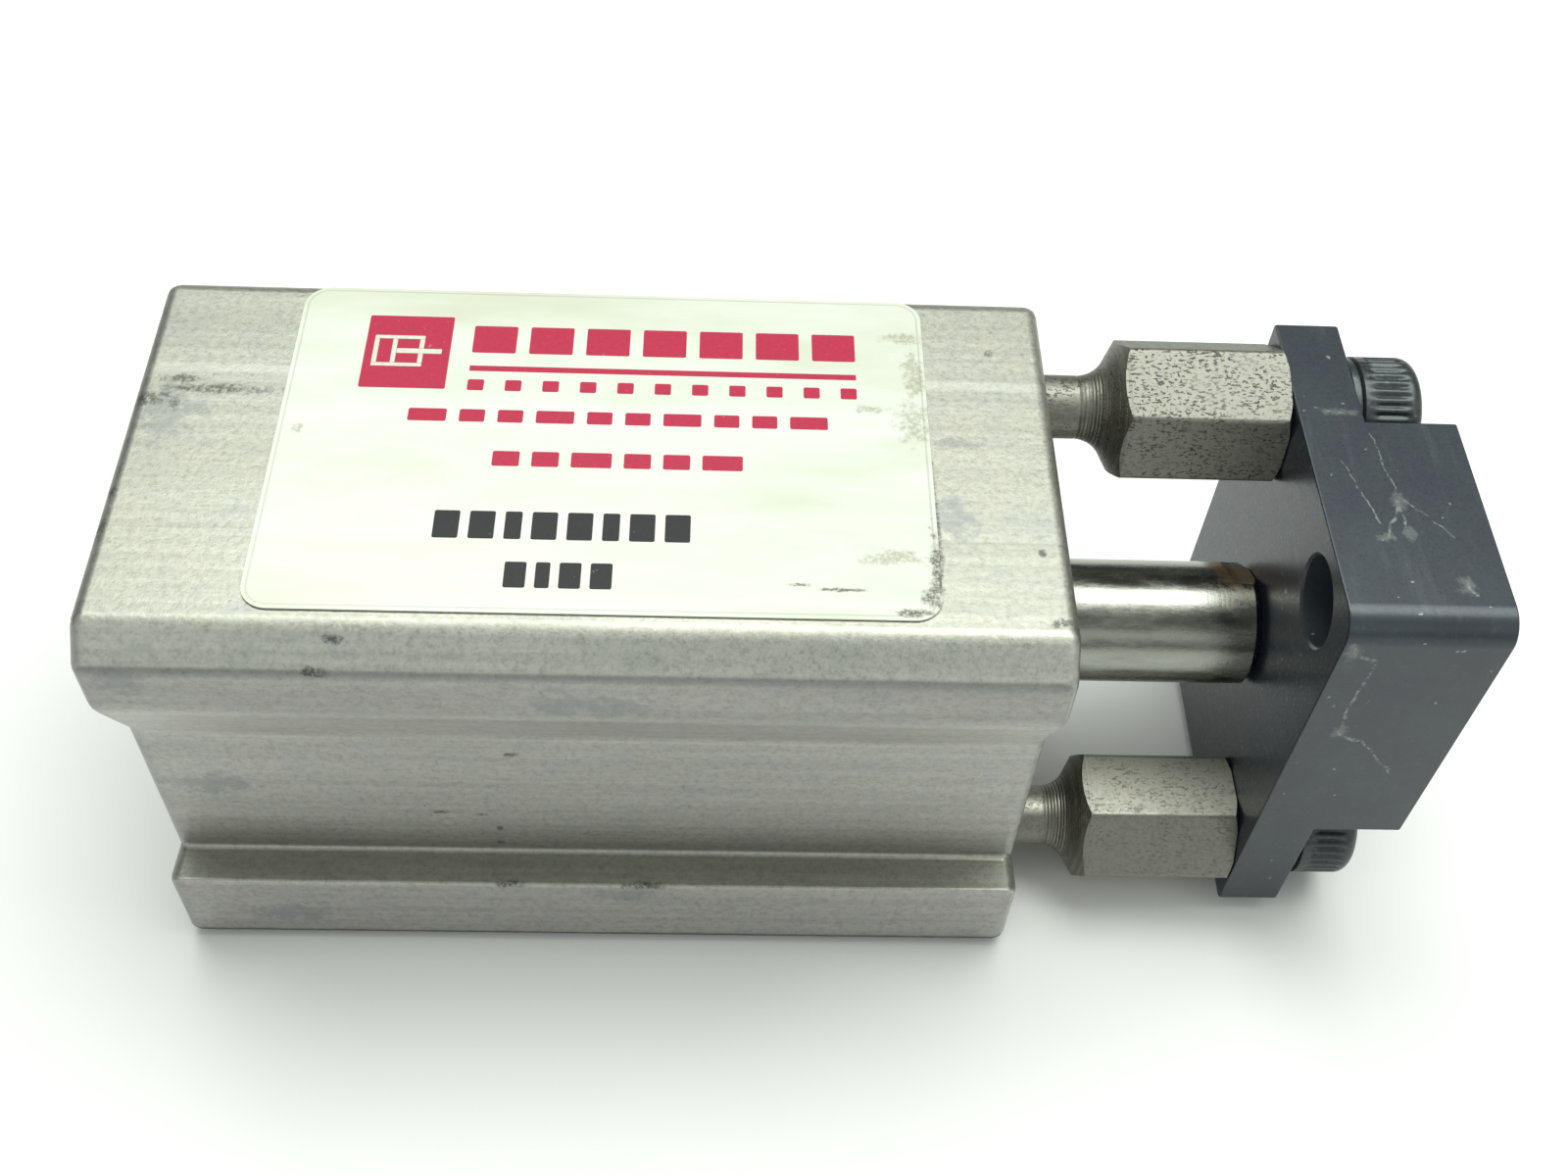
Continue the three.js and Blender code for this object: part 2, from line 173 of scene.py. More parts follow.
# ---------------------------------------------------------------- mesh helpers
def add_turned(bm, profile, sides, centre, radius_at=None):
    """Turns closed [x, radius] points about the line through centre parallel to X."""
    rings = []
    for x, radius in profile:
        if radius < 1e-6:
            rings.append([bm.verts.new((x, centre.y, centre.z))] * sides)
            continue
        ring = []
        for side in range(sides):
            angle = TAU * side / sides
            here = radius_at(x, radius, angle) if radius_at else radius
            offset = Vector((0, math.cos(angle), math.sin(angle))) * here
            ring.append(bm.verts.new((x, centre.y + offset.y, centre.z + offset.z)))
        rings.append(ring)
    on_axis = profile[0][1] < 1e-6
    count = len(rings) - (1 if on_axis else 0)
    for i in range(count):
        near, far = rings[i], rings[(i + 1) % len(rings)]
        for side in range(sides):
            other = (side + 1) % sides
            corners = [near[side], near[other], far[other], far[side]]
            unique = list(dict.fromkeys(corners))
            if len(unique) > 2:
                bm.faces.new(unique)


def add_loft(bm, near, far):
    """Closes the room between two outlines with the same number of points."""
    near = [bm.verts.new(point) for point in near]
    far = [bm.verts.new(point) for point in far]
    bm.faces.new(near)
    bm.faces.new(far)
    for i in range(len(near)):
        j = (i + 1) % len(near)
        bm.faces.new((near[i], near[j], far[j], far[i]))


def add_prism(bm, outline, start, end):
    """Pushes a closed outline of (y, z) points along X."""
    add_loft(bm, [(start, y, z) for y, z in outline], [(end, y, z) for y, z in outline])


def add_sheet(bm, outline, start, end):
    """Pushes a closed outline of (x, y) points along Z."""
    add_loft(bm, [(x, y, start) for x, y in outline], [(x, y, end) for x, y in outline])


def add_box(bm, low, high):
    outline = [(low[1], low[2]), (high[1], low[2]), (high[1], high[2]), (low[1], high[2])]
    add_prism(bm, outline, low[0], high[0])


def hexagon(centre, across, turn):
    corner = across / math.sqrt(3)
    points = []
    for i in range(6):
        angle = turn + i * TAU / 6
        points.append((centre.y + corner * math.cos(angle), centre.z + corner * math.sin(angle)))
    return points


def mesh_piece(name, bm):
    """Makes an object, in metres, of a bmesh in millimetres."""
    bmesh.ops.remove_doubles(bm, verts=bm.verts, dist=1e-5)
    bmesh.ops.recalc_face_normals(bm, faces=bm.faces)
    bmesh.ops.scale(bm, vec=(MM, MM, MM), verts=bm.verts)
    mesh = bpy.data.meshes.new(name)
    bm.to_mesh(mesh)
    bm.free()
    piece = bpy.data.objects.new(name, mesh)
    bpy.context.scene.collection.objects.link(piece)
    return piece


def turned_piece(name, profile, sides, centre, radius_at=None):
    bm = bmesh.new()
    add_turned(bm, profile, sides, centre, radius_at)
    return mesh_piece(name, bm)


def settle(piece):
    """Replaces a piece's mesh by what its modifiers make of it."""
    graph = bpy.context.evaluated_depsgraph_get()
    mesh = bpy.data.meshes.new_from_object(piece.evaluated_get(graph))
    piece.modifiers.clear()
    piece.data = mesh
    return piece


def combine(piece, other, operation="DIFFERENCE"):
    """Cuts other from piece, or intersects the two. The other is used up."""
    boolean = piece.modifiers.new("combine", "BOOLEAN")
    boolean.object = other
    boolean.operation = operation
    boolean.solver = "EXACT"
    settle(piece)
    bpy.data.objects.remove(other)
    return piece


def rounded_edges(piece, width, steps=3, weights=None):
    """Rounds sharp edges, or where weights is given, each edge by width times weights(a, b)."""
    if weights:
        layer = piece.data.attributes.new("bevel_weight_edge", "FLOAT", "EDGE")
        for edge in piece.data.edges:
            a, b = (piece.data.vertices[i].co / MM for i in edge.vertices)
            layer.data[edge.index].value = weights(a, b)
    bevel = piece.modifiers.new("edges", "BEVEL")
    bevel.width = width * MM
    bevel.segments = steps
    bevel.limit_method = "WEIGHT" if weights else "ANGLE"
    bevel.angle_limit = math.radians(30)
    bevel.use_clamp_overlap = False
    settle(piece)
    return piece


def smooth(piece, sharp_above=32):
    """Smooth shading with creases above an angle, weighted so that flat faces stay flat."""
    bm = bmesh.new()
    bm.from_mesh(piece.data)
    bmesh.ops.dissolve_degenerate(bm, edges=bm.edges, dist=1e-8)
    for face in bm.faces:
        face.smooth = True
    for edge in bm.edges:
        edge.smooth = edge.is_manifold and edge.calc_face_angle() < math.radians(sharp_above)
    bm.to_mesh(piece.data)
    bm.free()
    weighted = piece.modifiers.new("flat faces", "WEIGHTED_NORMAL")
    weighted.keep_sharp = True
    weighted.weight = 80
    return piece


def finish_piece(piece, body, material, replaces=()):
    """Gives a piece its material and its place in the frame."""
    piece.data.materials.clear()
    piece.data.materials.append(material)
    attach(piece, body)
    if replaces:
        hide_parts(*replaces)
    return piece


def hole_cutter(start, end, radius, centre, chamfer=0.3, sides=64):
    """A round cutter between two faces, widened to a chamfer where it passes each of them."""
    past = 1.0
    profile = [
        (start - past, 0), (start - past, radius + chamfer), (start, radius + chamfer),
        (start + chamfer, radius), (end - chamfer, radius), (end, radius + chamfer),
        (end + past, radius + chamfer), (end + past, 0),
    ]
    return turned_piece("cutter", profile, sides, centre)


# ---------------------------------------------------------------- node helpers
class Nodes:
    """A node tree with short calls to add and link nodes."""

    def __init__(self, tree):
        self.tree = tree

    def add(self, kind):
        return self.tree.nodes.new(kind)

    def put(self, socket, value):
        if isinstance(value, bpy.types.NodeSocket):
            self.tree.links.new(value, socket)
        else:
            socket.default_value = value

    def math(self, operation, a, b=0.0):
        node = self.add("ShaderNodeMath")
        node.operation = operation
        self.put(node.inputs[0], a)
        self.put(node.inputs[1], b)
        return node.outputs[0]

    def times(self, a, b):
        return self.math("MULTIPLY", a, b)

    def minus(self, a, b):
        return self.math("SUBTRACT", a, b)

    def most(self, values):
        result = values[0]
        for value in values[1:]:
            result = self.math("MAXIMUM", result, value)
        return result

    def vector(self, operation, a, b=(0, 0, 0)):
        node = self.add("ShaderNodeVectorMath")
        node.operation = operation
        self.put(node.inputs[0], a)
        self.put(node.inputs[1], b)
        return node.outputs["Value" if operation in ("LENGTH", "DOT_PRODUCT") else "Vector"]

    def parts(self, vector):
        node = self.add("ShaderNodeSeparateXYZ")
        self.put(node.inputs[0], vector)
        return node.outputs

    def range(self, value, low, high, to_low=0.0, to_high=1.0):
        node = self.add("ShaderNodeMapRange")
        node.interpolation_type = "SMOOTHSTEP"
        for socket, number in zip(node.inputs, (value, low, high, to_low, to_high)):
            self.put(socket, number)
        return node.outputs[0]

    def band(self, value, centre, inner, outer):
        """1 within inner of the centre value and 0 beyond outer."""
        return self.range(self.math("ABSOLUTE", self.minus(value, centre)), inner, outer, 1.0, 0.0)

    def blend(self, amount, a, b, mode="MIX"):
        node = self.add("ShaderNodeMix")
        node.data_type = "RGBA"
        node.blend_type = mode
        self.put(node.inputs[0], amount)
        for index, value in ((6, a), (7, b)):
            self.put(node.inputs[index], (*value, 1) if isinstance(value, tuple) else value)
        return node.outputs[2]

    def cover(self, colour, paint, mask, strength):
        """Paint over colour where the mask is 1, as strongly as strength says."""
        return self.blend(self.times(mask, strength), colour, paint)


class Shader(Nodes):
    """A material's nodes, placed by the object's own coordinates in millimetres."""

    def __init__(self, name):
        self.material = bpy.data.materials.new(name)
        self.material.use_nodes = True
        super().__init__(self.material.node_tree)
        self.surface = self.tree.nodes["Principled BSDF"]
        place = self.add("ShaderNodeTexCoord").outputs["Object"]
        self.mm = self.vector("MULTIPLY", place, (1 / MM, 1 / MM, 1 / MM))

    def set(self, **values):
        for name, value in values.items():
            self.put(self.surface.inputs[name.replace("_", " ")], value)

    def facing(self):
        """Parts of the surface's outward direction in the object's own axes."""
        return self.parts(self.add("ShaderNodeTexCoord").outputs["Normal"])

    def noise(self, scale, stretch=(1, 1, 1), detail=3, rough=0.55, shift=0.0):
        """Noise with features per millimetre, squeezed along each axis by stretch."""
        node = self.add("ShaderNodeTexNoise")
        moved = self.vector("ADD", self.mm, (shift, shift, shift))
        self.put(node.inputs["Vector"], self.vector("MULTIPLY", moved, stretch))
        node.inputs["Scale"].default_value = scale
        node.inputs["Detail"].default_value = detail
        node.inputs["Roughness"].default_value = rough
        return node.outputs["Fac"]

    def ramp(self, value, stops):
        node = self.add("ShaderNodeValToRGB")
        self.put(node.inputs[0], value)
        elements = node.color_ramp.elements
        while len(elements) < len(stops):
            elements.new(0.5)
        for element, (place, colour) in zip(elements, stops):
            element.position = place
            element.color = (*colour, 1)
        return node.outputs[0]

    def bump(self, height, distance, strength=1.0, normal=None):
        node = self.add("ShaderNodeBump")
        node.inputs["Strength"].default_value = strength
        node.inputs["Distance"].default_value = distance * MM
        self.put(node.inputs["Height"], height)
        if normal:
            self.put(node.inputs["Normal"], normal)
        return node.outputs[0]

    def spot(self, centre, reach, ragged, grain):
        """1 near a place and 0 beyond reach (x, y, z), with a ragged edge."""
        offset = self.vector("SUBTRACT", self.mm, centre)
        far = self.vector("LENGTH", self.vector("DIVIDE", offset, reach))
        push = self.minus(self.noise(grain, detail=5, rough=0.7), 0.5)
        return self.range(self.math("ADD", far, self.times(push, 4 * ragged)), 0.35, 1.0, 1.0, 0.0)

    def spots(self, places, ragged, grain):
        """One mask for several spots, each given as (centre, reach)."""
        return self.most([self.spot(centre, reach, ragged, grain) for centre, reach in places])


# ---------------------------------------------------------------- materials
def blasted_aluminium():
    """Bead-blasted, clear anodised extrusion: speckled, a little yellow, scuffed by handling."""
    s = Shader("clear_anodised_aluminium")
    x, y, z = s.parts(s.mm)
    fine = s.noise(5.5, detail=3, rough=0.7)
    speckle = s.noise(2.3, detail=4, rough=0.65, shift=7)
    cloud = s.noise(0.09, stretch=(0.6, 1, 1), detail=4, shift=31)
    drawn = s.noise(1.0, stretch=(0.03, 1.4, 1.4), detail=3, rough=0.6, shift=5)
    tint = s.ramp(cloud, [
        (0.3, (0.445, 0.445, 0.40)), (0.52, (0.47, 0.465, 0.405)), (0.72, (0.43, 0.44, 0.41)),
    ])
    # Painted shade: the colour is set face by face from the facing and the height, standing in for how the
    # light falls on each face. The chamfers get a paler, less yellow grey; on the upright faces the lower
    # flange and web are mid grey, the slanted underside above the channel is paler and the upper vertical
    # face darker.
    facing = s.facing()
    slope = s.math("ABSOLUTE", facing[1])
    tint = s.blend(s.range(slope, 0.4, 0.65), tint, (0.56, 0.565, 0.52))
    side = s.ramp(s.math("DIVIDE", z, TOP), [
        (LEDGE_INNER_Z / TOP, (0.44, 0.425, 0.41)), (LEDGE_OUTER_Z / TOP + 0.02, (0.47, 0.46, 0.44)),
        (CHANNEL_TOP_Z / TOP - 0.02, (0.47, 0.46, 0.44)), (CHANNEL_TOP_Z / TOP, (0.585, 0.57, 0.55)),
        (UPPER_FLANGE_Z / TOP - 0.01, (0.585, 0.57, 0.55)),
        (UPPER_FLANGE_Z / TOP + 0.02, (0.385, 0.375, 0.36)),
    ])
    tint = s.blend(s.range(slope, 0.75, 0.88), tint, side)
    grain = s.ramp(s.math("ADD", s.times(fine, 0.45), s.times(speckle, 0.55)),
                   [(0.36, (0.66, 0.66, 0.64)), (0.47, (0.86, 0.86, 0.85)), (0.56, (0.98, 0.98, 0.98)),
                    (0.66, (1, 1, 1))])
    colour = s.blend(0.85, tint, grain, "MULTIPLY")
    stain = s.range(s.noise(0.45, detail=4, rough=0.65, shift=77), 0.48, 0.7)
    colour = s.cover(colour, (0.30, 0.34, 0.37), stain, 0.2)
    streaks = s.ramp(s.range(drawn, 0.35, 0.7, 0.90, 1.03), [(0.0, (0, 0, 0)), (1.0, (1, 1, 1))])
    colour = s.blend(1.0, colour, streaks, "MULTIPLY")
    # Lines left by the extrusion die along the top: a pale band and a thin dark one.
    wavering = wiggle(s, y, 0.12, 0.25, 91)
    pale = s.band(wavering, 5.8, 0.15, 0.55)
    dark = s.band(wavering, -6.5, 0.03, 0.14)
    on_top = s.range(facing[2], 0.8, 0.95, 0.0, 0.22)
    colour = s.cover(colour, (0.75, 0.75, 0.70), pale, on_top)
    colour = s.cover(colour, (0.20, 0.20, 0.18), dark, on_top)
    front, web = -HALF_WIDTH, -WEB_HALF_WIDTH
    # Dark rub marks, given as centre and reach, broken up by the grain.
    marks = s.spots((
        ((-26.3, 3.3, TOP), (1.6, 0.75, 1.0)), ((-24.6, 4.9, TOP), (1.5, 0.45, 1.0)),
        ((-22.6, 4.1, TOP), (4.2, 0.5, 1.0)), ((-24.6, 2.9, TOP), (0.4, 0.8, 1.0)),
        ((-26.8, -4.0, TOP), (0.6, 0.5, 1.5)), ((-26.9, -6.6, TOP), (0.5, 0.8, 1.5)),
        ((23.7, 8.7, TOP), (0.3, 0.4, 1.0)), ((25.5, -7.1, TOP), (0.35, 0.4, 1.0)),
        ((26.0, -12.0, TOP), (0.7, 0.5, 1.0)), ((19.6, -5.5, TOP), (0.3, 5.5, 0.6)),
        ((-14.2, -14.9, 30.2), (1.0, 0.6, 0.4)), ((-13.2, -13.6, 31.6), (0.9, 0.35, 0.4)),
        ((-6.2, web, 9.5), (0.3, 1.0, 0.35)), ((-6.3, web, 7.7), (0.35, 1.0, 0.3)),
        ((-9.7, web, 11.4), (1.0, 1.0, 0.3)), ((-7.2, web, 11.2), (0.7, 1.0, 0.25)),
        ((-4.9, web, 18.2), (0.8, 1.0, 0.35)), ((2.9, front, LEDGE_OUTER_Z), (2.2, 0.5, 0.4)),
        ((-5.5, front, LEDGE_OUTER_Z), (1.4, 0.5, 0.35)),
    ), 0.55, 1.6)
    breaks = s.range(s.noise(3.6, detail=4, rough=0.7, shift=3), 0.40, 0.56, 0.25, 1.0)
    marks = s.times(marks, breaks)
    # Soft bluish-grey smudges.
    smudges_and_edge_shade = s.spots((
        ((-23.4, web, 14.5), (3.2, 1.0, 1.6)), ((1.9, front, 6.2), (3.0, 0.6, 1.0)),
        ((-19.8, front, 3.3), (3.5, 0.6, 1.5)), ((-25.0, 2.2, TOP), (2.5, 2.6, 1.0)),
        ((-24.5, front, 29.2), (1.6, 0.8, 1.4)), ((0.3, front, 27.8), (4.0, 0.6, 1.4)),
        ((20.6, -4.6, TOP), (1.6, 2.0, 1.0)), ((21.2, 1.2, TOP), (1.6, 0.6, 1.0)),
    ), 0.8, 0.9)
    # Painted shade joins the smudges: a soft bluish-grey band along the rounded rear edge, kept off the end
    # face, and a fainter dark line where the chamfer meets the upright face.
    off_end_face = s.range(s.math("ABSOLUTE", facing[0]), 0.8, 0.95, 0.8, 0.0)
    painted_rear_edge_shade = s.times(s.range(x, REAR + 0.2, REAR + 1.2, 1.0, 0.0), off_end_face)
    painted_junction_line = s.band(z, TOP - TOP_CHAMFER, 0.05, 0.4)
    smudges_and_edge_shade = s.most([smudges_and_edge_shade, painted_rear_edge_shade, s.times(painted_junction_line, 0.5)])
    flecks = s.range(s.noise(2.4, detail=3, rough=0.6, shift=61), 0.66, 0.73)
    fleck_zone = s.range(s.noise(0.16, detail=2, shift=17), 0.46, 0.6)
    dirt = s.times(flecks, fleck_zone)
    colour = s.cover(colour, (0.205, 0.222, 0.238), smudges_and_edge_shade, 0.46)
    colour = s.cover(colour, (0.07, 0.075, 0.07), marks, 0.8)
    colour = s.cover(colour, (0.11, 0.11, 0.10), dirt, 0.45)
    # Painted contact shadow: the body darkens almost to black over its lowest millimetre, along the base.
    painted_contact_shadow = s.range(wiggle(s, z, 0.12, 0.8, 67), 0.7, 1.15, 0.8, 0.0)
    colour = s.blend(painted_contact_shadow, colour, (0.055, 0.055, 0.05))
    rough = s.range(s.math("ADD", fine, s.times(cloud, 0.6)), 0.5, 1.1, 0.40, 0.56)
    normal = s.bump(fine, 0.022, 0.5)
    normal = s.bump(speckle, 0.03, 0.4, normal)
    normal = s.bump(drawn, 0.02, 0.3, normal)
    s.set(Base_Color=colour, Metallic=0.92, Roughness=rough, Normal=normal)
    return s.material


def dark_anodised():
    """Dark slate-blue anodised plate, semi-gloss, with fine rubs and pale scratches."""
    s = Shader("dark_blue_anodised")
    x, y, z = s.parts(s.mm)
    cloud = s.noise(0.25, detail=4, shift=3)
    grain = s.noise(5.0, detail=3, rough=0.7, shift=11)
    drawn = s.noise(1.2, stretch=(1, 0.12, 1), detail=4, rough=0.65, shift=5)
    colour = s.ramp(cloud, [(0.3, (0.034, 0.039, 0.053)), (0.7, (0.041, 0.051, 0.060))])
    # Painted shade: the rear face, which looks back at the body, gets a darker colour than the other faces
    # of the plate.
    rear_face_shade = s.range(s.facing()[0], -0.6, -0.9)
    colour = s.blend(rear_face_shade, colour, (0.010, 0.016, 0.028))
    rubs = s.range(s.noise(0.5, detail=6, rough=0.75, shift=23), 0.60, 0.78)
    colour = s.cover(colour, (0.15, 0.17, 0.17), rubs, 0.25)
    brushed = s.range(drawn, 0.52, 0.72)
    colour = s.cover(colour, (0.15, 0.17, 0.18), brushed, 0.12)
    rough = s.range(grain, 0.3, 0.7, 0.27, 0.36)
    normal = s.bump(grain, 0.009, 0.3)
    normal = s.bump(drawn, 0.008, 0.4, normal)
    scratches = plate_scratches(s, x, y, z)
    colour = s.cover(colour, (0.46, 0.48, 0.44), scratches, 0.42)
    flecks = s.range(s.noise(1.7, detail=2, rough=0.4, shift=83), 0.745, 0.77)
    colour = s.cover(colour, (0.42, 0.44, 0.42), flecks, 0.5)
    s.set(Base_Color=colour, Metallic=0.25, Roughness=rough, Normal=normal)
    return s.material


def wiggle(s, coordinate, size, scale, shift):
    """A coordinate pushed to and fro by noise."""
    push = s.minus(s.noise(scale, detail=3, shift=shift), 0.5)
    return s.math("ADD", coordinate, s.times(push, 2 * size))


def line_mask(s, a, b, start, end, width, face, face_reach):
    """1 on a scratch from start to end in the plane of coordinates a and b, 0 off it or off its face."""
    (a0, b0), (a1, b1) = start, end
    length = math.hypot(a1 - a0, b1 - b0)
    da, db = (a1 - a0) / length, (b1 - b0) / length
    along = s.math("ADD", s.times(s.minus(a, a0), da), s.times(s.minus(b, b0), db))
    across = s.minus(s.times(s.minus(a, a0), db), s.times(s.minus(b, b0), da))
    on_line = s.band(across, 0.0, width * 0.4, width)
    inside = s.times(s.range(along, -0.1, 0.1), s.range(along, length - 0.1, length + 0.1, 1.0, 0.0))
    near_face = s.band(face, 0.0, 0.0, face_reach)
    return s.times(s.times(on_line, inside), near_face)


def plate_scratches(s, x, y, z):
    """Pale scratches on the plate's top and front faces."""
    top_face = s.minus(z, PLATE_HIGH.z)
    front_face = s.minus(y, PLATE_LOW.y)
    bent_x = wiggle(s, x, 0.35, 0.9, 41)
    bent_y = wiggle(s, y, 0.35, 0.9, 47)
    bent_z = wiggle(s, z, 0.45, 0.8, 53)
    p = PLATE_LOW.x
    breaks = s.range(s.noise(2.4, detail=5, rough=0.75, shift=71), 0.40, 0.60)
    top_lines = [
        ((p + 4.0, 2.6), (p + 4.6, -2.3), 0.07), ((p + 4.6, -2.3), (p + 7.2, -5.4), 0.07),
        ((p + 4.6, -2.2), (p + 4.5, -3.6), 0.22), ((p + 4.5, -3.1), (p + 3.3, -5.6), 0.10),
        ((p + 4.5, -3.3), (p + 4.7, -5.4), 0.12), ((p + 1.8, 0.4), (p + 3.2, -4.6), 0.07),
        ((p + 1.1, 4.6), (p + 3.6, 4.1), 0.09), ((p + 7.0, -8.5), (p + 7.4, -9.6), 0.12),
    ]
    front_lines = [
        ((p + 0.4, 30.6), (p + 0.8, 29.6), 0.20), ((p + 0.8, 29.6), (p + 2.3, 29.2), 0.15),
        ((p + 2.3, 29.2), (p + 2.0, 24.6), 0.14), ((p + 2.0, 24.6), (p + 2.2, 21.8), 0.14),
        ((p + 2.2, 21.8), (p + 3.8, 21.0), 0.16), ((p + 3.8, 21.0), (p + 6.9, 17.3), 0.10),
    ]
    smears = s.spots((
        ((p + 4.6, -2.8, PLATE_HIGH.z), (0.6, 0.9, 0.5)), ((p + 3.3, -5.5, PLATE_HIGH.z), (0.7, 0.4, 0.5)),
        ((p + 4.7, -5.2, PLATE_HIGH.z), (0.5, 0.7, 0.5)), ((p + 7.1, -8.9, PLATE_HIGH.z), (0.6, 0.7, 0.5)),
        ((p + 2.6, 4.3, PLATE_HIGH.z), (1.5, 0.35, 0.5)), ((p + 0.7, PLATE_LOW.y, 29.9), (0.6, 0.5, 0.9)),
        ((p + 2.3, PLATE_LOW.y, 22.0), (0.5, 0.5, 0.9)),
    ), 0.7, 2.2)
    masks = [line_mask(s, bent_x, bent_y, a, b, w, top_face, 0.4) for a, b, w in top_lines]
    masks += [line_mask(s, bent_x, bent_z, a, b, w, front_face, 0.4) for a, b, w in front_lines]
    return s.most([s.times(s.most(masks), breaks), s.times(smears, 0.4)])


def turned_steel():
    """Bright steel with turning marks and many small black pits, drawn out along the rod."""
    s = Shader("turned_steel")
    x, y, z = s.parts(s.mm)
    rings = s.noise(3.2, stretch=(1, 0.04, 0.04), detail=3, rough=0.6)
    grain = s.noise(3.0, detail=4, rough=0.7, shift=9)
    pits = s.range(s.noise(6.6, stretch=(0.5, 1, 1), detail=3, rough=0.6, shift=13), 0.55, 0.62)
    zone = s.range(s.noise(0.45, detail=3, shift=29), 0.36, 0.56, 0.25, 1.0)
    on_upper = s.range(z, LOWER.z + 5, UPPER.z - 5, 0.45, 1.0)
    pits = s.times(s.times(pits, zone), on_upper)
    colour = s.ramp(grain, [(0.3, (0.18, 0.178, 0.155)), (0.6, (0.26, 0.255, 0.222))])
    # Painted light: the top-facing faces of the lower guide rod, the top of its hexagon, are made paler.
    painted_top_light = s.times(s.range(s.facing()[2], 0.8, 0.95), s.range(z, LOWER.z + 5, UPPER.z - 5, 1.0, 0.0))
    colour = s.blend(painted_top_light, colour, (0.40, 0.39, 0.34))
    colour = s.cover(colour, (0.055, 0.052, 0.045), pits, 0.85)
    # Dirt in the tool marks of the flare, between the neck and the hexagon.
    flare = s.minus(x, FRONT + NECK_LENGTH)
    flare = s.times(s.range(flare, 0.0, 0.4), s.range(flare, 2.6, 3.2, 1.0, 0.0))
    dirt = s.range(s.noise(4.6, stretch=(1, 0.03, 0.03), detail=2, shift=63), 0.46, 0.58)
    colour = s.cover(colour, (0.06, 0.057, 0.05), s.times(dirt, flare), 0.32)
    rough = s.range(grain, 0.3, 0.7, 0.42, 0.56)
    normal = s.bump(rings, 0.012, 0.5)
    normal = s.bump(s.minus(1.0, pits), 0.05, 0.6, normal)
    s.set(Base_Color=colour, Metallic=1.0, Roughness=rough, Normal=normal)
    return s.material


def ground_steel():
    """Ground piston rod, satin rather than polished, with axial rubs and rust beside the plate."""
    s = Shader("ground_steel")
    rings = s.noise(6.0, stretch=(1, 0.05, 0.05), detail=2, rough=0.5)
    fine = s.noise(5.0, stretch=(0.6, 1, 1), detail=4, rough=0.7, shift=37)
    rubs = s.noise(1.4, stretch=(0.3, 1, 1), detail=5, rough=0.7, shift=19)
    rust = s.spot((FRONT + 13.6, 1.2, AXIS.z + 3.2), (2.2, 3.0, 1.8), 0.5, 1.1)
    colour = s.ramp(rubs, [(0.3, (0.245, 0.247, 0.222)), (0.6, (0.34, 0.345, 0.31))])
    specks = s.range(fine, 0.58, 0.68)
    colour = s.cover(colour, (0.12, 0.12, 0.11), specks, 0.35)
    colour = s.cover(colour, (0.34, 0.215, 0.10), rust, 0.9)
    rough = s.math("ADD", s.range(rubs, 0.35, 0.75, 0.20, 0.34), s.times(rust, 0.25))
    normal = s.bump(rings, 0.006, 0.5)
    normal = s.bump(rubs, 0.016, 0.5, normal)
    normal = s.bump(fine, 0.014, 0.5, normal)
    s.set(Base_Color=colour, Metallic=1.0, Roughness=rough, Normal=normal)
    return s.material


def black_oxide():
    """Black oxide on steel, satin, with brighter rubs."""
    s = Shader("black_oxide_steel")
    grain = s.noise(4.0, detail=4, rough=0.7)
    rubs = s.range(s.noise(1.1, detail=5, rough=0.75, shift=21), 0.56, 0.74)
    colour = s.ramp(grain, [(0.35, (0.045, 0.053, 0.057)), (0.7, (0.078, 0.089, 0.092))])
    colour = s.cover(colour, (0.24, 0.24, 0.23), rubs, 0.5)
    s.set(Base_Color=colour, Metallic=0.6, Roughness=s.range(grain, 0.3, 0.7, 0.30, 0.44),
          Normal=s.bump(grain, 0.01, 0.4))
    return s.material


def plain_metal(name, dark, light, roughness):
    """Machined metal with rings of tool marks."""
    s = Shader(name)
    rings = s.noise(3.0, stretch=(1, 0.05, 0.05), detail=3)
    cloud = s.noise(0.6, detail=4, rough=0.6, shift=15)
    s.set(Base_Color=s.ramp(cloud, [(0.35, dark), (0.65, light)]), Metallic=1.0,
          Roughness=s.range(cloud, 0.3, 0.7, roughness - 0.06, roughness + 0.08),
          Normal=s.bump(rings, 0.01, 0.5))
    return s.material


def soft_plastic(name, dark, light, roughness):
    """Rubber or urethane with a faint moulded grain."""
    s = Shader(name)
    grain = s.noise(4.0, detail=4, rough=0.6)
    s.set(Base_Color=s.ramp(grain, [(0.35, dark), (0.65, light)]), Roughness=roughness,
          Normal=s.bump(grain, 0.015, 0.4))
    return s.material


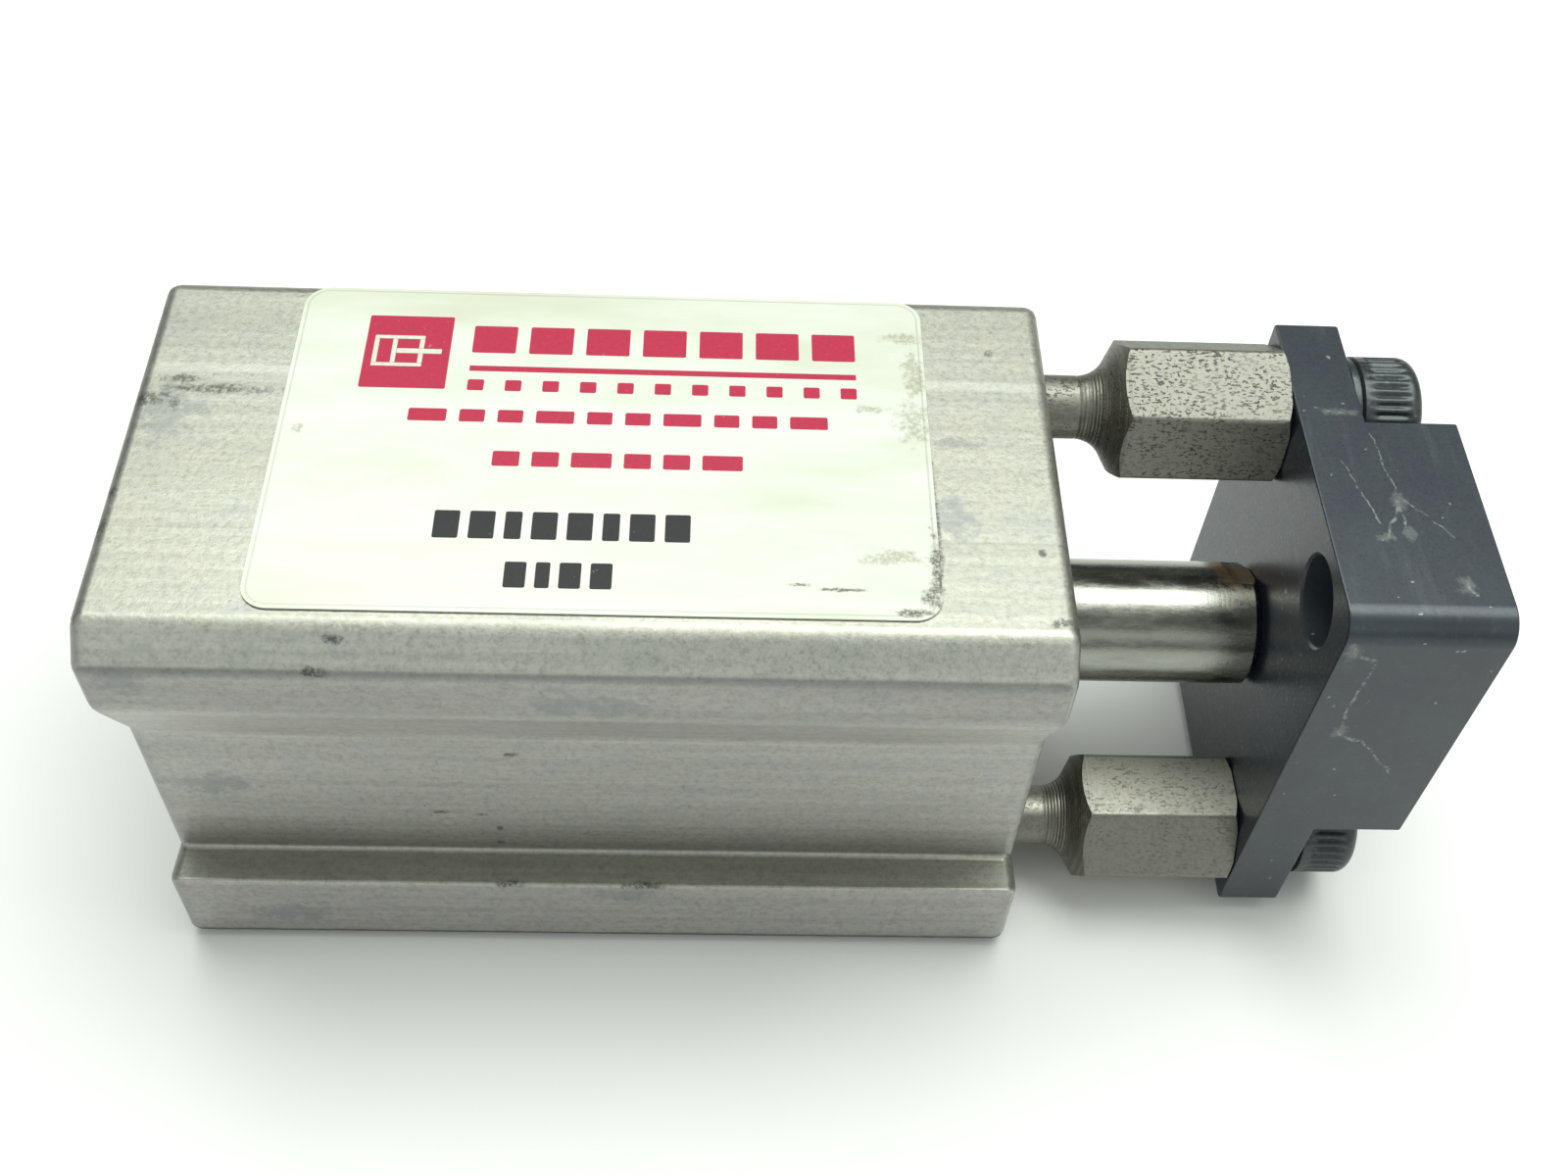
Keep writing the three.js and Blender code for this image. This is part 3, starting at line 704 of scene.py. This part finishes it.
def label_film():
    """Glossy film over off-white paper, yellowed in bands, with grime at its front edge and corner."""
    s = Shader("label_film")
    low, high = box_mm("label")
    cloud = s.noise(0.10, stretch=(0.5, 1.6, 1), detail=4, shift=2)
    bands = s.noise(0.30, stretch=(0.08, 1, 1), detail=3, shift=52)
    speck = s.range(s.noise(0.9, detail=3, rough=0.6, shift=44), 0.72, 0.80)
    colour = s.ramp(cloud, [
        (0.35, (0.57, 0.595, 0.48)), (0.55, (0.64, 0.67, 0.60)), (0.7, (0.60, 0.63, 0.55)),
    ])
    colour = s.cover(colour, (0.71, 0.74, 0.70), s.range(bands, 0.45, 0.7), 0.5)
    inset = s.vector("ABSOLUTE", s.vector("SUBTRACT", s.mm, (low + high) / 2))
    past = s.vector("SUBTRACT", inset, (high - low) / 2 - Vector((LABEL_CORNER, LABEL_CORNER, 0)))
    past = s.vector("LENGTH", s.vector("MAXIMUM", past))
    outline = s.band(s.minus(LABEL_CORNER, past), 0.28, 0.02, 0.09)
    breaks = s.range(s.noise(3.2, detail=4, rough=0.7, shift=9), 0.40, 0.56, 0.3, 1.0)
    front, top = high.x, high.z
    dark = s.spots((
        ((front - 0.2, -8.6, top), (0.45, 3.4, 1.0)), ((front - 0.6, -10.4, top), (0.7, 1.0, 1.0)),
        ((front - 1.6, -11.6, top), (1.3, 0.35, 1.0)), ((front - 5.4, -10.1, top), (1.9, 0.16, 1.0)),
        ((front - 8.0, -9.8, top), (1.0, 0.14, 1.0)),
    ), 0.55, 1.7)
    stain = s.spots((
        ((front - 2.3, -7.8, top), (2.3, 0.7, 1.0)), ((front - 0.9, 2.6, top), (1.2, 2.0, 1.0)),
        ((front - 0.7, 6.5, top), (0.9, 2.2, 1.0)), ((front - 1.2, 9.6, top), (1.4, 0.6, 1.0)),
        ((low.x + 1.2, 1.0, top), (0.4, 0.5, 1.0)), ((front - 3.4, 3.6, top), (1.2, 0.4, 1.0)),
    ), 0.7, 1.4)
    dark = s.times(dark, breaks)
    stain = s.times(stain, breaks)
    colour = s.cover(colour, (0.42, 0.42, 0.34), speck, 0.3)
    colour = s.cover(colour, (0.34, 0.35, 0.30), outline, 0.45)
    colour = s.cover(colour, (0.27, 0.25, 0.14), stain, 0.6)
    colour = s.cover(colour, (0.06, 0.05, 0.03), dark, 0.9)
    waves = s.noise(0.35, stretch=(0.4, 1, 1), detail=3, shift=8)
    rough = s.range(cloud, 0.3, 0.7, 0.22, 0.34)
    s.set(Base_Color=colour, Roughness=rough, Normal=s.bump(waves, 0.05, 0.35))
    return s.material


def printing_ink(name, colour, worn):
    """Ink with a slight mottle and pin holes where it has worn."""
    s = Shader(name)
    mottle = s.noise(3.5, detail=4, rough=0.7)
    shade = s.ramp(mottle, [(0.35, tuple(0.85 * c for c in colour)), (0.65, colour)])
    holes = s.range(s.noise(2.4, detail=4, rough=0.7, shift=6), 0.66, 0.74)
    colour = s.cover(shade, (0.72, 0.70, 0.62), holes, worn)
    s.set(Base_Color=colour, Roughness=0.45, Specular_IOR_Level=0.25)
    return s.material


ALUMINIUM = blasted_aluminium()
ANODISED = dark_anodised()
TURNED = turned_steel()
GROUND = ground_steel()
OXIDE = black_oxide()
MACHINED = plain_metal("machined_aluminium", (0.56, 0.57, 0.57), (0.66, 0.67, 0.66), 0.32)
SPRING = plain_metal("spring_steel", (0.13, 0.125, 0.12), (0.20, 0.19, 0.18), 0.4)
BRONZE = plain_metal("sintered_bronze", (0.36, 0.24, 0.11), (0.48, 0.33, 0.16), 0.45)
RUBBER = soft_plastic("nitrile_rubber", (0.012, 0.012, 0.012), (0.022, 0.022, 0.021), 0.55)
URETHANE = soft_plastic("urethane", (0.30, 0.14, 0.04), (0.42, 0.21, 0.07), 0.4)
FILM = label_film()
RED_INK = printing_ink("red_ink", (0.45, 0.020, 0.062), 0.35)
BLACK_INK = printing_ink("black_ink", (0.020, 0.021, 0.022), 0.2)
WHITE_INK = printing_ink("white_ink", (0.64, 0.66, 0.58), 0.0)


# ---------------------------------------------------------------- housing pieces
def make_body():
    """One-piece extrusion with rounded edges, bored and drilled with chamfered mouths."""
    half = [
        (HALF_WIDTH, 0), (HALF_WIDTH, LEDGE_OUTER_Z), (WEB_HALF_WIDTH, LEDGE_INNER_Z),
        (WEB_HALF_WIDTH, CHANNEL_TOP_Z), (HALF_WIDTH, UPPER_FLANGE_Z),
        (HALF_WIDTH, TOP - TOP_CHAMFER), (HALF_WIDTH - TOP_CHAMFER, TOP),
    ]
    outline = half + [(-y, z) for y, z in reversed(half)]
    bm = bmesh.new()
    add_prism(bm, outline, REAR, FRONT)
    body = mesh_piece("body", bm)
    widest, end_radius = 1.0, 0.85
    corner_radius = {0: 0.9, LEDGE_OUTER_Z: 0.3, LEDGE_INNER_Z: 0.45, CHANNEL_TOP_Z: 0.45,
                     UPPER_FLANGE_Z: 1.0, TOP - TOP_CHAMFER: 0.5, TOP: 0.55}

    def weights(a, b):
        if abs(a.x - b.x) < 1:
            return end_radius / widest
        nearest = min(corner_radius, key=lambda level: abs(level - a.z))
        return corner_radius[nearest] / widest

    rounded_edges(body, widest, 4, weights)
    groove, mouth = BORE_RADIUS + GROOVE_DEPTH, 0.35
    half_bore = [(1, 0), (1, BORE_RADIUS + mouth), (0, BORE_RADIUS + mouth), (-mouth, BORE_RADIUS),
                 (-RING_INSET, BORE_RADIUS), (-RING_INSET, groove), (-RING_INSET - RING_WIDTH, groove),
                 (-RING_INSET - RING_WIDTH, BORE_RADIUS)]
    bore = [(REAR - past, radius) for past, radius in half_bore]
    bore += [(FRONT + past, radius) for past, radius in reversed(half_bore)]
    combine(body, turned_piece("cutter", bore, 128, AXIS))
    start, chamfer = REAR + GUIDE_HOLE_START, 0.15
    for side, centre in GUIDES:
        combine(body, turned_piece("cutter", [
            (start, 0), (start, GUIDE_HOLE_RADIUS), (FRONT - chamfer, GUIDE_HOLE_RADIUS),
            (FRONT, GUIDE_HOLE_RADIUS + chamfer), (FRONT + 1, GUIDE_HOLE_RADIUS + chamfer), (FRONT + 1, 0),
        ], 64, centre))
    for centre in MOUNT_HOLES:
        combine(body, hole_cutter(REAR, FRONT, MOUNT_HOLE_RADIUS, centre))
    # The ports run from inside the bore out through the back web.
    inner_end = BORE_RADIUS - 1.2
    for station in PORT_STATIONS:
        cutter = hole_cutter(0, WEB_HALF_WIDTH, PORT_RADIUS, Vector((0, 0, 0)), mouth)
        cutter.matrix_world = (Matrix.Translation(Vector((REAR + station, 0, AXIS.z)) * MM)
                               @ Matrix.Rotation(math.pi / 2, 4, "Z"))
        cutter.data.transform(cutter.matrix_world)
        cutter.matrix_world = Matrix.Identity(4)
        for vertex in cutter.data.vertices:
            vertex.co.y = max(vertex.co.y, inner_end * MM)
        combine(body, cutter)
    smooth(body)
    return finish_piece(body, "housing", ALUMINIUM, ["body_extrusion"])


def make_heads():
    """The turned end heads that show in the bore's mouths."""
    low, high = box_mm("rear_head")
    groove_start, groove_end = (low.x + inset for inset in REAR_HEAD_GROOVE)
    step = high.x - 1.6
    rear = turned_piece("rear_head_turned", filleted([
        (low.x, 0), (low.x, 2.2), (low.x + 0.5, 2.4), (low.x + 0.5, 5.2), (low.x, 5.4),
        (low.x, HEAD_RADIUS, 0.3), (groove_start, HEAD_RADIUS), (groove_start, HEAD_GROOVE_RADIUS),
        (groove_end, HEAD_GROOVE_RADIUS), (groove_end, HEAD_RADIUS), (step, HEAD_RADIUS, 0.2),
        (step, NOSE_RADIUS), (high.x, NOSE_RADIUS, 0.2), (high.x, 0),
    ], 3), 96, AXIS)
    finish_piece(smooth(rear), "housing", MACHINED, ["rear_head"])

    low, high = box_mm("front_head")
    groove_start, groove_end = (REAR + inset for inset in FRONT_HEAD_GROOVE)
    seal_start, seal_end = (REAR + inset for inset in SEAL_GROOVE)
    step, seat, face = low.x + 3, FRONT - WIPER_SEAT_INSET, FRONT - HEAD_INSET
    bushing_end = box_mm("rod_bushing")[1].x + 0.04
    front = turned_piece("front_head_turned", filleted([
        (low.x, BUSHING_SEAT_RADIUS), (low.x, NOSE_RADIUS, 0.2), (step, NOSE_RADIUS),
        (step, HEAD_RADIUS, 0.2), (groove_start, HEAD_RADIUS), (groove_start, HEAD_GROOVE_RADIUS),
        (groove_end, HEAD_GROOVE_RADIUS), (groove_end, HEAD_RADIUS), (face, HEAD_RADIUS),
        (face, BOSS_RADIUS), (high.x, BOSS_RADIUS, 0.3), (high.x, WIPER_SEAT_RADIUS, 0.1),
        (seat, WIPER_SEAT_RADIUS), (seat, LIP_RADIUS), (seal_end, LIP_RADIUS),
        (seal_end, WIPER_SEAT_RADIUS), (seal_start, WIPER_SEAT_RADIUS), (seal_start, LIP_RADIUS),
        (bushing_end, LIP_RADIUS), (bushing_end, BUSHING_SEAT_RADIUS),
    ], 3), 96, AXIS)
    finish_piece(smooth(front), "housing", MACHINED, ["front_head"])


def make_retaining_ring(name, node):
    """Internal retaining ring: a flat ring with a gap and two drilled ears."""
    low, high = box_mm(node)
    outer, inner, ear = BORE_RADIUS + GROOVE_DEPTH - 0.12, 8.45, 7.3
    hole_circle, hole_radius = 8.15, 0.5
    # Angles, in radians: half the gap, an ear's width, its fade into the ring, and its hole's place.
    gap, ear_turn, fade_turn, hole_turn = math.radians(10), 0.16, 0.16, 0.12
    bm = bmesh.new()
    outline = []
    steps = 72
    for i in range(steps + 1):
        angle = -math.pi / 2 + gap + (TAU - 2 * gap) * i / steps
        outline.append((AXIS.y + outer * math.cos(angle), AXIS.z + outer * math.sin(angle)))
    for i in reversed(range(steps + 1)):
        turn = gap + (TAU - 2 * gap) * i / steps
        near = min(turn, TAU - turn) - gap
        blend = 0.5 + 0.5 * math.cos(math.pi * min(1, max(0, (near - ear_turn) / fade_turn)))
        radius = inner + (ear - inner) * blend
        angle = -math.pi / 2 + turn
        outline.append((AXIS.y + radius * math.cos(angle), AXIS.z + radius * math.sin(angle)))
    add_prism(bm, outline, low.x, high.x)
    ring = mesh_piece(name, bm)
    for sign in (1, -1):
        angle = -math.pi / 2 + sign * (gap + hole_turn)
        centre = AXIS + Vector((0, math.cos(angle), math.sin(angle))) * hole_circle
        combine(ring, hole_cutter(low.x, high.x, hole_radius, centre, 0.05, 24))
    rounded_edges(ring, 0.08, 2)
    return finish_piece(smooth(ring), "housing", SPRING, [node])


def make_wiper():
    """Rod wiper with a raised lip that hugs the rod."""
    low, high = box_mm("rod_wiper")
    inner, outer = ROD_RADIUS + 0.05, WIPER_SEAT_RADIUS - 0.04
    shoulder = high.x - 0.5
    wiper = turned_piece("rod_wiper_lip", filleted([
        (low.x, inner + 0.5), (low.x, outer), (shoulder, outer, 0.15), (shoulder, inner + 0.9, 0.1),
        (high.x, inner + 0.25, 0.08), (high.x, inner), (high.x - 0.9, inner),
    ], 4), 96, AXIS)
    return finish_piece(smooth(wiper), "housing", RUBBER, ["rod_wiper"])


def make_guide_bushings():
    """Bronze bushings, chamfered inside and out."""
    for side, centre in GUIDES:
        for end in ("rear", "front"):
            node = f"{side}_guide_bushing_{end}"
            low, high = box_mm(node)
            outer, inner, edge = GUIDE_HOLE_RADIUS - 0.04, GUIDE_RADIUS + 0.05, 0.15
            bushing = turned_piece(f"{node}_turned", [
                (low.x, inner + edge), (low.x, outer - edge), (low.x + edge, outer),
                (high.x - edge, outer), (high.x, outer - edge), (high.x, inner + edge),
                (high.x - edge, inner), (low.x + edge, inner),
            ], 64, centre)
            finish_piece(smooth(bushing, 50), "housing", BRONZE, [node])


# ---------------------------------------------------------------- label
def make_label():
    """Thin film with round corners and a soft edge."""
    low, high = box_mm("label")
    corner = LABEL_CORNER
    outline = filleted([
        (low.x, low.y, corner), (high.x, low.y, corner), (high.x, high.y, corner), (low.x, high.y, corner),
    ], 10)
    bm = bmesh.new()
    add_sheet(bm, outline, low.z, high.z)
    label = mesh_piece("label_film_sheet", bm)
    rounded_edges(label, 0.03, 2)
    return finish_piece(smooth(label), "housing", FILM, ["label"])


def add_patch(bm, outline, raised=0.0):
    """A printed patch: a closed outline of (x, y) points, a hair thick, lying on the label."""
    surface = box_mm("label")[1].z + raised
    ink = 0.006
    add_sheet(bm, outline, surface - ink, surface + ink)


def add_bar(bm, left, front, right, back, corner=0.12, raised=0.0):
    """A bar with round corners."""
    corner = min(corner, 0.45 * (right - left), 0.45 * (back - front))
    add_patch(bm, filleted([
        (left, front, corner), (right, front, corner), (right, back, corner), (left, back, corner),
    ], 4), raised)


def add_bar_row(bm, left, right, front, back, lengths, gap):
    """A row of bars whose lengths are in the given proportions."""
    unit = (right - left - gap * (len(lengths) - 1)) / sum(lengths)
    for length in lengths:
        add_bar(bm, left, front, left + length * unit, back)
        left += length * unit + gap


def make_print():
    """Plain placeholder marks: a cylinder symbol, rules and bars in place of any wording."""
    left, right = -7.8, 15.4
    red = bmesh.new()
    add_bar(red, -14.2, 4.4, -9.1, 10.5)
    add_bar_row(red, left, right, 7.5, 9.8, (4, 4, 4, 4, 4, 4, 4), 0.8)
    add_bar(red, left, 5.95, right, 6.4, 0.05)
    add_bar_row(red, left, right, 4.35, 5.25, (1,) * 11, 1.25)
    add_bar_row(red, -11.0, 13.6, 1.8, 2.8, (3, 2, 2, 3, 2, 2, 3, 2, 2, 3), 0.75)
    add_bar_row(red, -5.8, 8.6, -1.6, -0.45, (2, 2, 3, 2, 2, 3), 0.7)
    finish_piece(mesh_piece("label_print_red", red), "housing", RED_INK)
    black = bmesh.new()
    add_bar_row(black, -8.6, 5.7, -7.0, -5.0, (3, 3, 2, 3, 3, 2, 3, 3), 0.55)
    add_bar_row(black, -4.4, 1.5, -10.4, -8.6, (3, 2, 3, 3), 0.5)
    finish_piece(mesh_piece("label_print_black", black), "housing", BLACK_INK)
    # Cylinder symbol on the red block, as on a pneumatic diagram: a tube, its piston and its rod.
    white = bmesh.new()
    left, right, front, back = -13.7, -10.7, 6.2, 8.8
    pen, gap, half_rod = 0.28, 0.02, 0.2
    centre, piston, tip = (front + back) / 2, left + 1.1, right + 1.1
    low, high = front + pen + gap, back - pen - gap
    corner, raised = 0.04, 0.003
    for bar in (
        (left, front, right, front + pen), (left, back - pen, right, back),
        (left, low, left + pen, high), (piston, low, piston + pen, high),
        (right - pen, low, right, centre - half_rod - gap),
        (right - pen, centre + half_rod + gap, right, high),
        (piston + pen + gap, centre - half_rod, tip, centre + half_rod),
    ):
        add_bar(white, *bar, corner, raised)
    finish_piece(mesh_piece("label_print_white", white), "housing", WHITE_INK)


# ---------------------------------------------------------------- carriage pieces
def make_plate():
    """Notched plate with lightly broken edges, chamfered holes and a recess for the rod's screw."""
    corner, small = 1.75, 0.35
    outline = filleted([
        (PLATE_LOW.y, PLATE_LOW.z, small), (PLATE_HIGH.y, PLATE_LOW.z, corner),
        (PLATE_HIGH.y, PLATE_HIGH.z, small), (PLATE_LOW.y, PLATE_HIGH.z, corner),
    ], 8)
    bm = bmesh.new()
    add_prism(bm, outline, PLATE_LOW.x, PLATE_HIGH.x)
    plate = mesh_piece("tooling_plate_notched", bm)
    past = 2
    step = PLATE_LOW.x + FLANGE_THICKNESS
    for low, high in (
        ((step, PLATE_HIGH.y - NOTCH_WIDTH, PLATE_HIGH.z - NOTCH_HEIGHT),
         (PLATE_HIGH.x + past, PLATE_HIGH.y + past, PLATE_HIGH.z + past)),
        ((step, PLATE_LOW.y - past, PLATE_LOW.z - past),
         (PLATE_HIGH.x + past, PLATE_LOW.y + NOTCH_WIDTH, PLATE_LOW.z + NOTCH_HEIGHT)),
    ):
        bm = bmesh.new()
        add_box(bm, low, high)
        combine(plate, mesh_piece("cutter", bm))
    rounded_edges(plate, 0.14, 2)
    for side, centre in GUIDES:
        combine(plate, hole_cutter(PLATE_LOW.x, step, SCREW_HOLE_RADIUS, centre, 0.2))
    for centre in MOUNT_HOLES:
        combine(plate, hole_cutter(PLATE_LOW.x, PLATE_HIGH.x, PLATE_HOLE_RADIUS, centre, 0.15))
    rear, front, recess, chamfer = PLATE_LOW.x - 1, PLATE_HIGH.x, SCREW_RECESS_RADIUS, 0.25
    seat = front - SCREW_RECESS_DEPTH
    combine(plate, turned_piece("cutter", [
        (rear, 0), (rear, SCREW_HOLE_RADIUS), (seat, SCREW_HOLE_RADIUS), (seat, recess),
        (front - chamfer, recess), (front, recess + chamfer), (front + 1, recess + chamfer), (front + 1, 0),
    ], 96, AXIS))
    return finish_piece(smooth(plate), "carriage", ANODISED, ["tooling_plate"])


def make_piston_rod():
    """Ground rod with a spigot at its rear end and two milled wrench flats beside the plate."""
    low, high = box_mm("piston_rod")
    shoulder = REAR + ROD_SHOULDER
    depth, chamfer, edge = 9.0, 0.2, 0.42
    rod = turned_piece("piston_rod_ground", [
        (low.x, 0), (low.x, SPIGOT_RADIUS - chamfer), (low.x + chamfer, SPIGOT_RADIUS),
        (shoulder, SPIGOT_RADIUS), (shoulder, ROD_RADIUS - chamfer), (shoulder + chamfer, ROD_RADIUS),
        (high.x - edge, ROD_RADIUS), (high.x, ROD_RADIUS - edge), (high.x, THREAD_RADIUS),
        (high.x - depth, THREAD_RADIUS), (high.x - depth, 0),
    ], 160, AXIS)
    flat, reach, runout, half = 3.5, 1.7, 1.2, 5
    for turn in (60, 240):
        # The milling cutter leaves a round run-out at the flat's inner end.
        outline = filleted([
            (high.x + 2, flat), (high.x + 2, flat + 2), (high.x - reach - 1, flat + 2),
            (high.x - reach, flat, runout),
        ], 8)
        bm = bmesh.new()
        add_sheet(bm, outline, -half, half)
        spin = Matrix.Translation(Vector((0, AXIS.y, AXIS.z))) @ Matrix.Rotation(math.radians(turn), 4, "X")
        bmesh.ops.transform(bm, matrix=spin, verts=bm.verts)
        combine(rod, mesh_piece("cutter", bm))
    return finish_piece(smooth(rod, 25), "carriage", GROUND, ["piston_rod"])


def make_guide_rod(side, centre, turn):
    """Slim rod, a grooved flare cut with a pointed tool, and a chamfered hexagonal end."""
    low, high = box_mm(f"{side}_guide_rod")
    neck_end = FRONT + NECK_LENGTH
    flare_radius, flare_slope = 2.1, math.radians(60)
    corner = HEX_ACROSS / math.sqrt(3) + 0.02
    arc_radius = GUIDE_RADIUS + flare_radius * (1 - math.cos(flare_slope))
    arc_length = flare_radius * flare_slope
    cone_length = (corner - arc_radius) / math.sin(flare_slope)
    # Tool marks: grooves of nearly even depth, four points to each.
    pitch, groove = 0.22, 0.045
    draw = random.Random(side)
    count = round((arc_length + cone_length) / pitch)
    path = [(neck_end, GUIDE_RADIUS)]
    for mark in range(count):
        sunk = groove * draw.uniform(0.45, 1.0)
        for share, sink in ((0.25, 0.5), (0.5, 1.0), (0.75, 0.5), (1.0, 0.0)):
            run = (mark + share) * (arc_length + cone_length) / count
            turned = min(run, arc_length) / flare_radius
            past = max(0.0, run - arc_length)
            x = neck_end + flare_radius * math.sin(turned) + past * math.cos(flare_slope)
            radius = GUIDE_RADIUS + flare_radius * (1 - math.cos(turned)) + past * math.sin(flare_slope)
            path.append((x, radius - sunk * sink))
    depth, chamfer, edge = 8.0, 0.3, 0.5
    rod = turned_piece(f"{side}_guide_rod_turned", [
        (low.x, 0), (low.x, GUIDE_RADIUS - chamfer), (low.x + chamfer, GUIDE_RADIUS), *path,
        (high.x - 0.6 * edge, corner), (high.x, corner - edge), (high.x, THREAD_RADIUS),
        (high.x - depth, THREAD_RADIUS), (high.x - depth, 0),
    ], 128, centre)
    bm = bmesh.new()
    rounded = filleted([(y, z, 0.4) for y, z in hexagon(centre, HEX_ACROSS, turn)], 5)
    add_prism(bm, rounded, low.x - 1, high.x + 1)
    combine(rod, mesh_piece("hex", bm), "INTERSECT")
    return finish_piece(smooth(rod, 25), "carriage", TURNED, [f"{side}_guide_rod"])


def make_screw(name, node, centre, shank, head_radius, round_over):
    """Socket head screw with a knurled side, a domed edge and a chamfered hexagonal socket."""
    low, high = box_mm(node)
    under = low.x + shank
    knurls, band, depth = 36, 0.6, 0.16
    knurl_start, knurl_end = under + band, high.x - round_over

    def knurled(x, radius, angle):
        if radius < head_radius - depth or x < knurl_start - 1e-6 or x > knurl_end + 1e-6:
            return radius
        fade = min(1, (x - knurl_start) / 0.25, (knurl_end - x) / 0.35)
        groove = 0.5 - 0.5 * math.cos(knurls * angle)
        return radius - depth * max(0, fade) * groove ** 1.5

    side = [(knurl_start + (knurl_end - knurl_start) * i / 10, head_radius) for i in range(11)]
    dome = [(knurl_end + round_over * math.sin(math.radians(a)),
             head_radius - round_over * (1 - math.cos(math.radians(a)))) for a in range(10, 91, 10)]
    profile = [
        (low.x, 0), (low.x, SCREW_RADIUS - 0.3), (low.x + 0.3, SCREW_RADIUS), (under, SCREW_RADIUS),
        (under, head_radius - 0.15), (under + 0.1, head_radius), *side, *dome, (high.x, 0),
    ]
    screw = turned_piece(name, profile, knurls * 8, centre, knurled)
    across, socket_depth, mouth = 3.0, 2.4, 0.25
    bm = bmesh.new()
    add_prism(bm, hexagon(centre, across, 0), high.x - socket_depth, high.x + 1)
    combine(screw, mesh_piece("cutter", bm))
    cone = across / math.sqrt(3)
    start, widest = high.x - 0.7 * mouth, cone + mouth - 0.1
    combine(screw, turned_piece("cutter", [
        (start, 0), (start, cone - 0.2), (high.x, widest), (high.x + 1, widest), (high.x + 1, 0),
    ], 96, centre))
    return finish_piece(smooth(screw, 40), "carriage", OXIDE, [node])


def make_washers():
    for side, centre in GUIDES:
        node = f"{side}_screw_washer"
        low, high = box_mm(node)
        outer, inner = (high.z - low.z) / 2, SCREW_RADIUS + 0.1
        washer = turned_piece(f"{node}_rounded", filleted([
            (low.x, inner), (low.x, outer, 0.12), (high.x, outer, 0.12), (high.x, inner),
        ], 4), 96, centre)
        finish_piece(smooth(washer), "carriage", OXIDE, [node])


make_body()
make_heads()
make_retaining_ring("rear_ring", "rear_retaining_ring")
make_retaining_ring("front_ring", "front_retaining_ring")
make_wiper()
make_guide_bushings()
make_label()
make_print()
make_plate()
make_piston_rod()
make_guide_rod("upper", UPPER, math.radians(82))
make_guide_rod("lower", LOWER, 0.0)
for side, centre in GUIDES:
    make_screw(f"{side}_screw", f"{side}_guide_screw", centre, 11, SCREW_HEAD_RADIUS, 0.9)
make_screw("rod_screw_head", "rod_screw", AXIS, 11.5, 3.5, 0.5)
make_washers()

# ---------------------------------------------------------------- pieces kept from the frame
KEPT = {
    "rear_head_o_ring": RUBBER, "front_head_o_ring": RUBBER, "rod_seal": RUBBER, "piston_seal": RUBBER,
    "rear_bumper": URETHANE, "front_bumper": URETHANE, "rod_bushing": BRONZE, "piston": MACHINED,
    "piston_nut": SPRING,
}
for node, material in KEPT.items():
    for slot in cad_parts[node].material_slots:
        slot.link = "OBJECT"
        slot.material = material


# ---------------------------------------------------------------- floor, light and camera
def make_floor():
    s = Shader("floor")
    paper = s.noise(0.02, detail=3)
    s.set(Base_Color=s.ramp(paper, [(0.3, (0.83, 0.835, 0.83)), (0.7, (0.85, 0.855, 0.85))]), Roughness=0.7)
    bm = bmesh.new()
    bmesh.ops.create_circle(bm, cap_ends=True, segments=64, radius=FLOOR_RADIUS)
    bmesh.ops.translate(bm, vec=(0, 0, FLOOR_LEVEL), verts=bm.verts)
    floor = mesh_piece("floor", bm)
    floor.data.materials.append(s.material)


def make_softbox():
    """Area light of a given radiance, aimed at the object."""
    light = bpy.data.lights.new("softbox", "AREA")
    light.shape = "RECTANGLE"
    light.size, light.size_y = SOFTBOX_SIZE
    light.energy = SOFTBOX_RADIANCE * math.pi * light.size * light.size_y
    light.color = LIGHT_TINT
    lamp = bpy.data.objects.new("softbox", light)
    bpy.context.scene.collection.objects.link(lamp)
    lamp.location = SOFTBOX_PLACE
    aim = Vector(SOFTBOX_AIM) - Vector(SOFTBOX_PLACE)
    lamp.rotation_euler = aim.to_track_quat("-Z", "Y").to_euler()


def make_world():
    """White to the camera. It lights the object from a room that is bright in front and dim behind."""
    world = bpy.data.worlds.new("studio")
    bpy.context.scene.world = world
    world.use_nodes = True
    w = Nodes(world.node_tree)
    direction = w.add("ShaderNodeTexCoord").outputs["Generated"]
    x, y, z = w.parts(direction)
    toward_photographer = w.vector("DOT_PRODUCT", direction, PHOTOGRAPHER)
    ambience = w.range(y, 0.45, -0.5, BACK_FILL, FRONT_FILL)
    for share in (
        w.range(z, 0.05, 0.55, 0.25, 1.0),
        w.range(x, -0.8, 0.0, 0.8, 1.0),
        w.range(toward_photographer, 0.88, 0.96, 1.0, 0.25),
    ):
        ambience = w.times(ambience, share)
    tinted = w.vector("MULTIPLY", LIGHT_TINT, ambience)
    camera_ray = w.add("ShaderNodeLightPath").outputs["Is Camera Ray"]
    w.put(w.tree.nodes["Background"].inputs["Color"], w.blend(camera_ray, tinted, (1, 1, 1)))


def make_camera():
    data = bpy.data.cameras.new("camera")
    data.sensor_width = SENSOR_WIDTH_MM
    data.lens = FOCAL_LENGTH_MM
    data.clip_start = 0.005
    camera = bpy.data.objects.new("camera", data)
    bpy.context.scene.collection.objects.link(camera)
    camera.location = CAMERA_PLACE
    camera.rotation_euler = [math.radians(angle) for angle in CAMERA_DEGREES]
    bpy.context.scene.camera = camera


make_floor()
make_softbox()
make_world()
make_camera()
bpy.context.scene.view_settings.view_transform = "Standard"
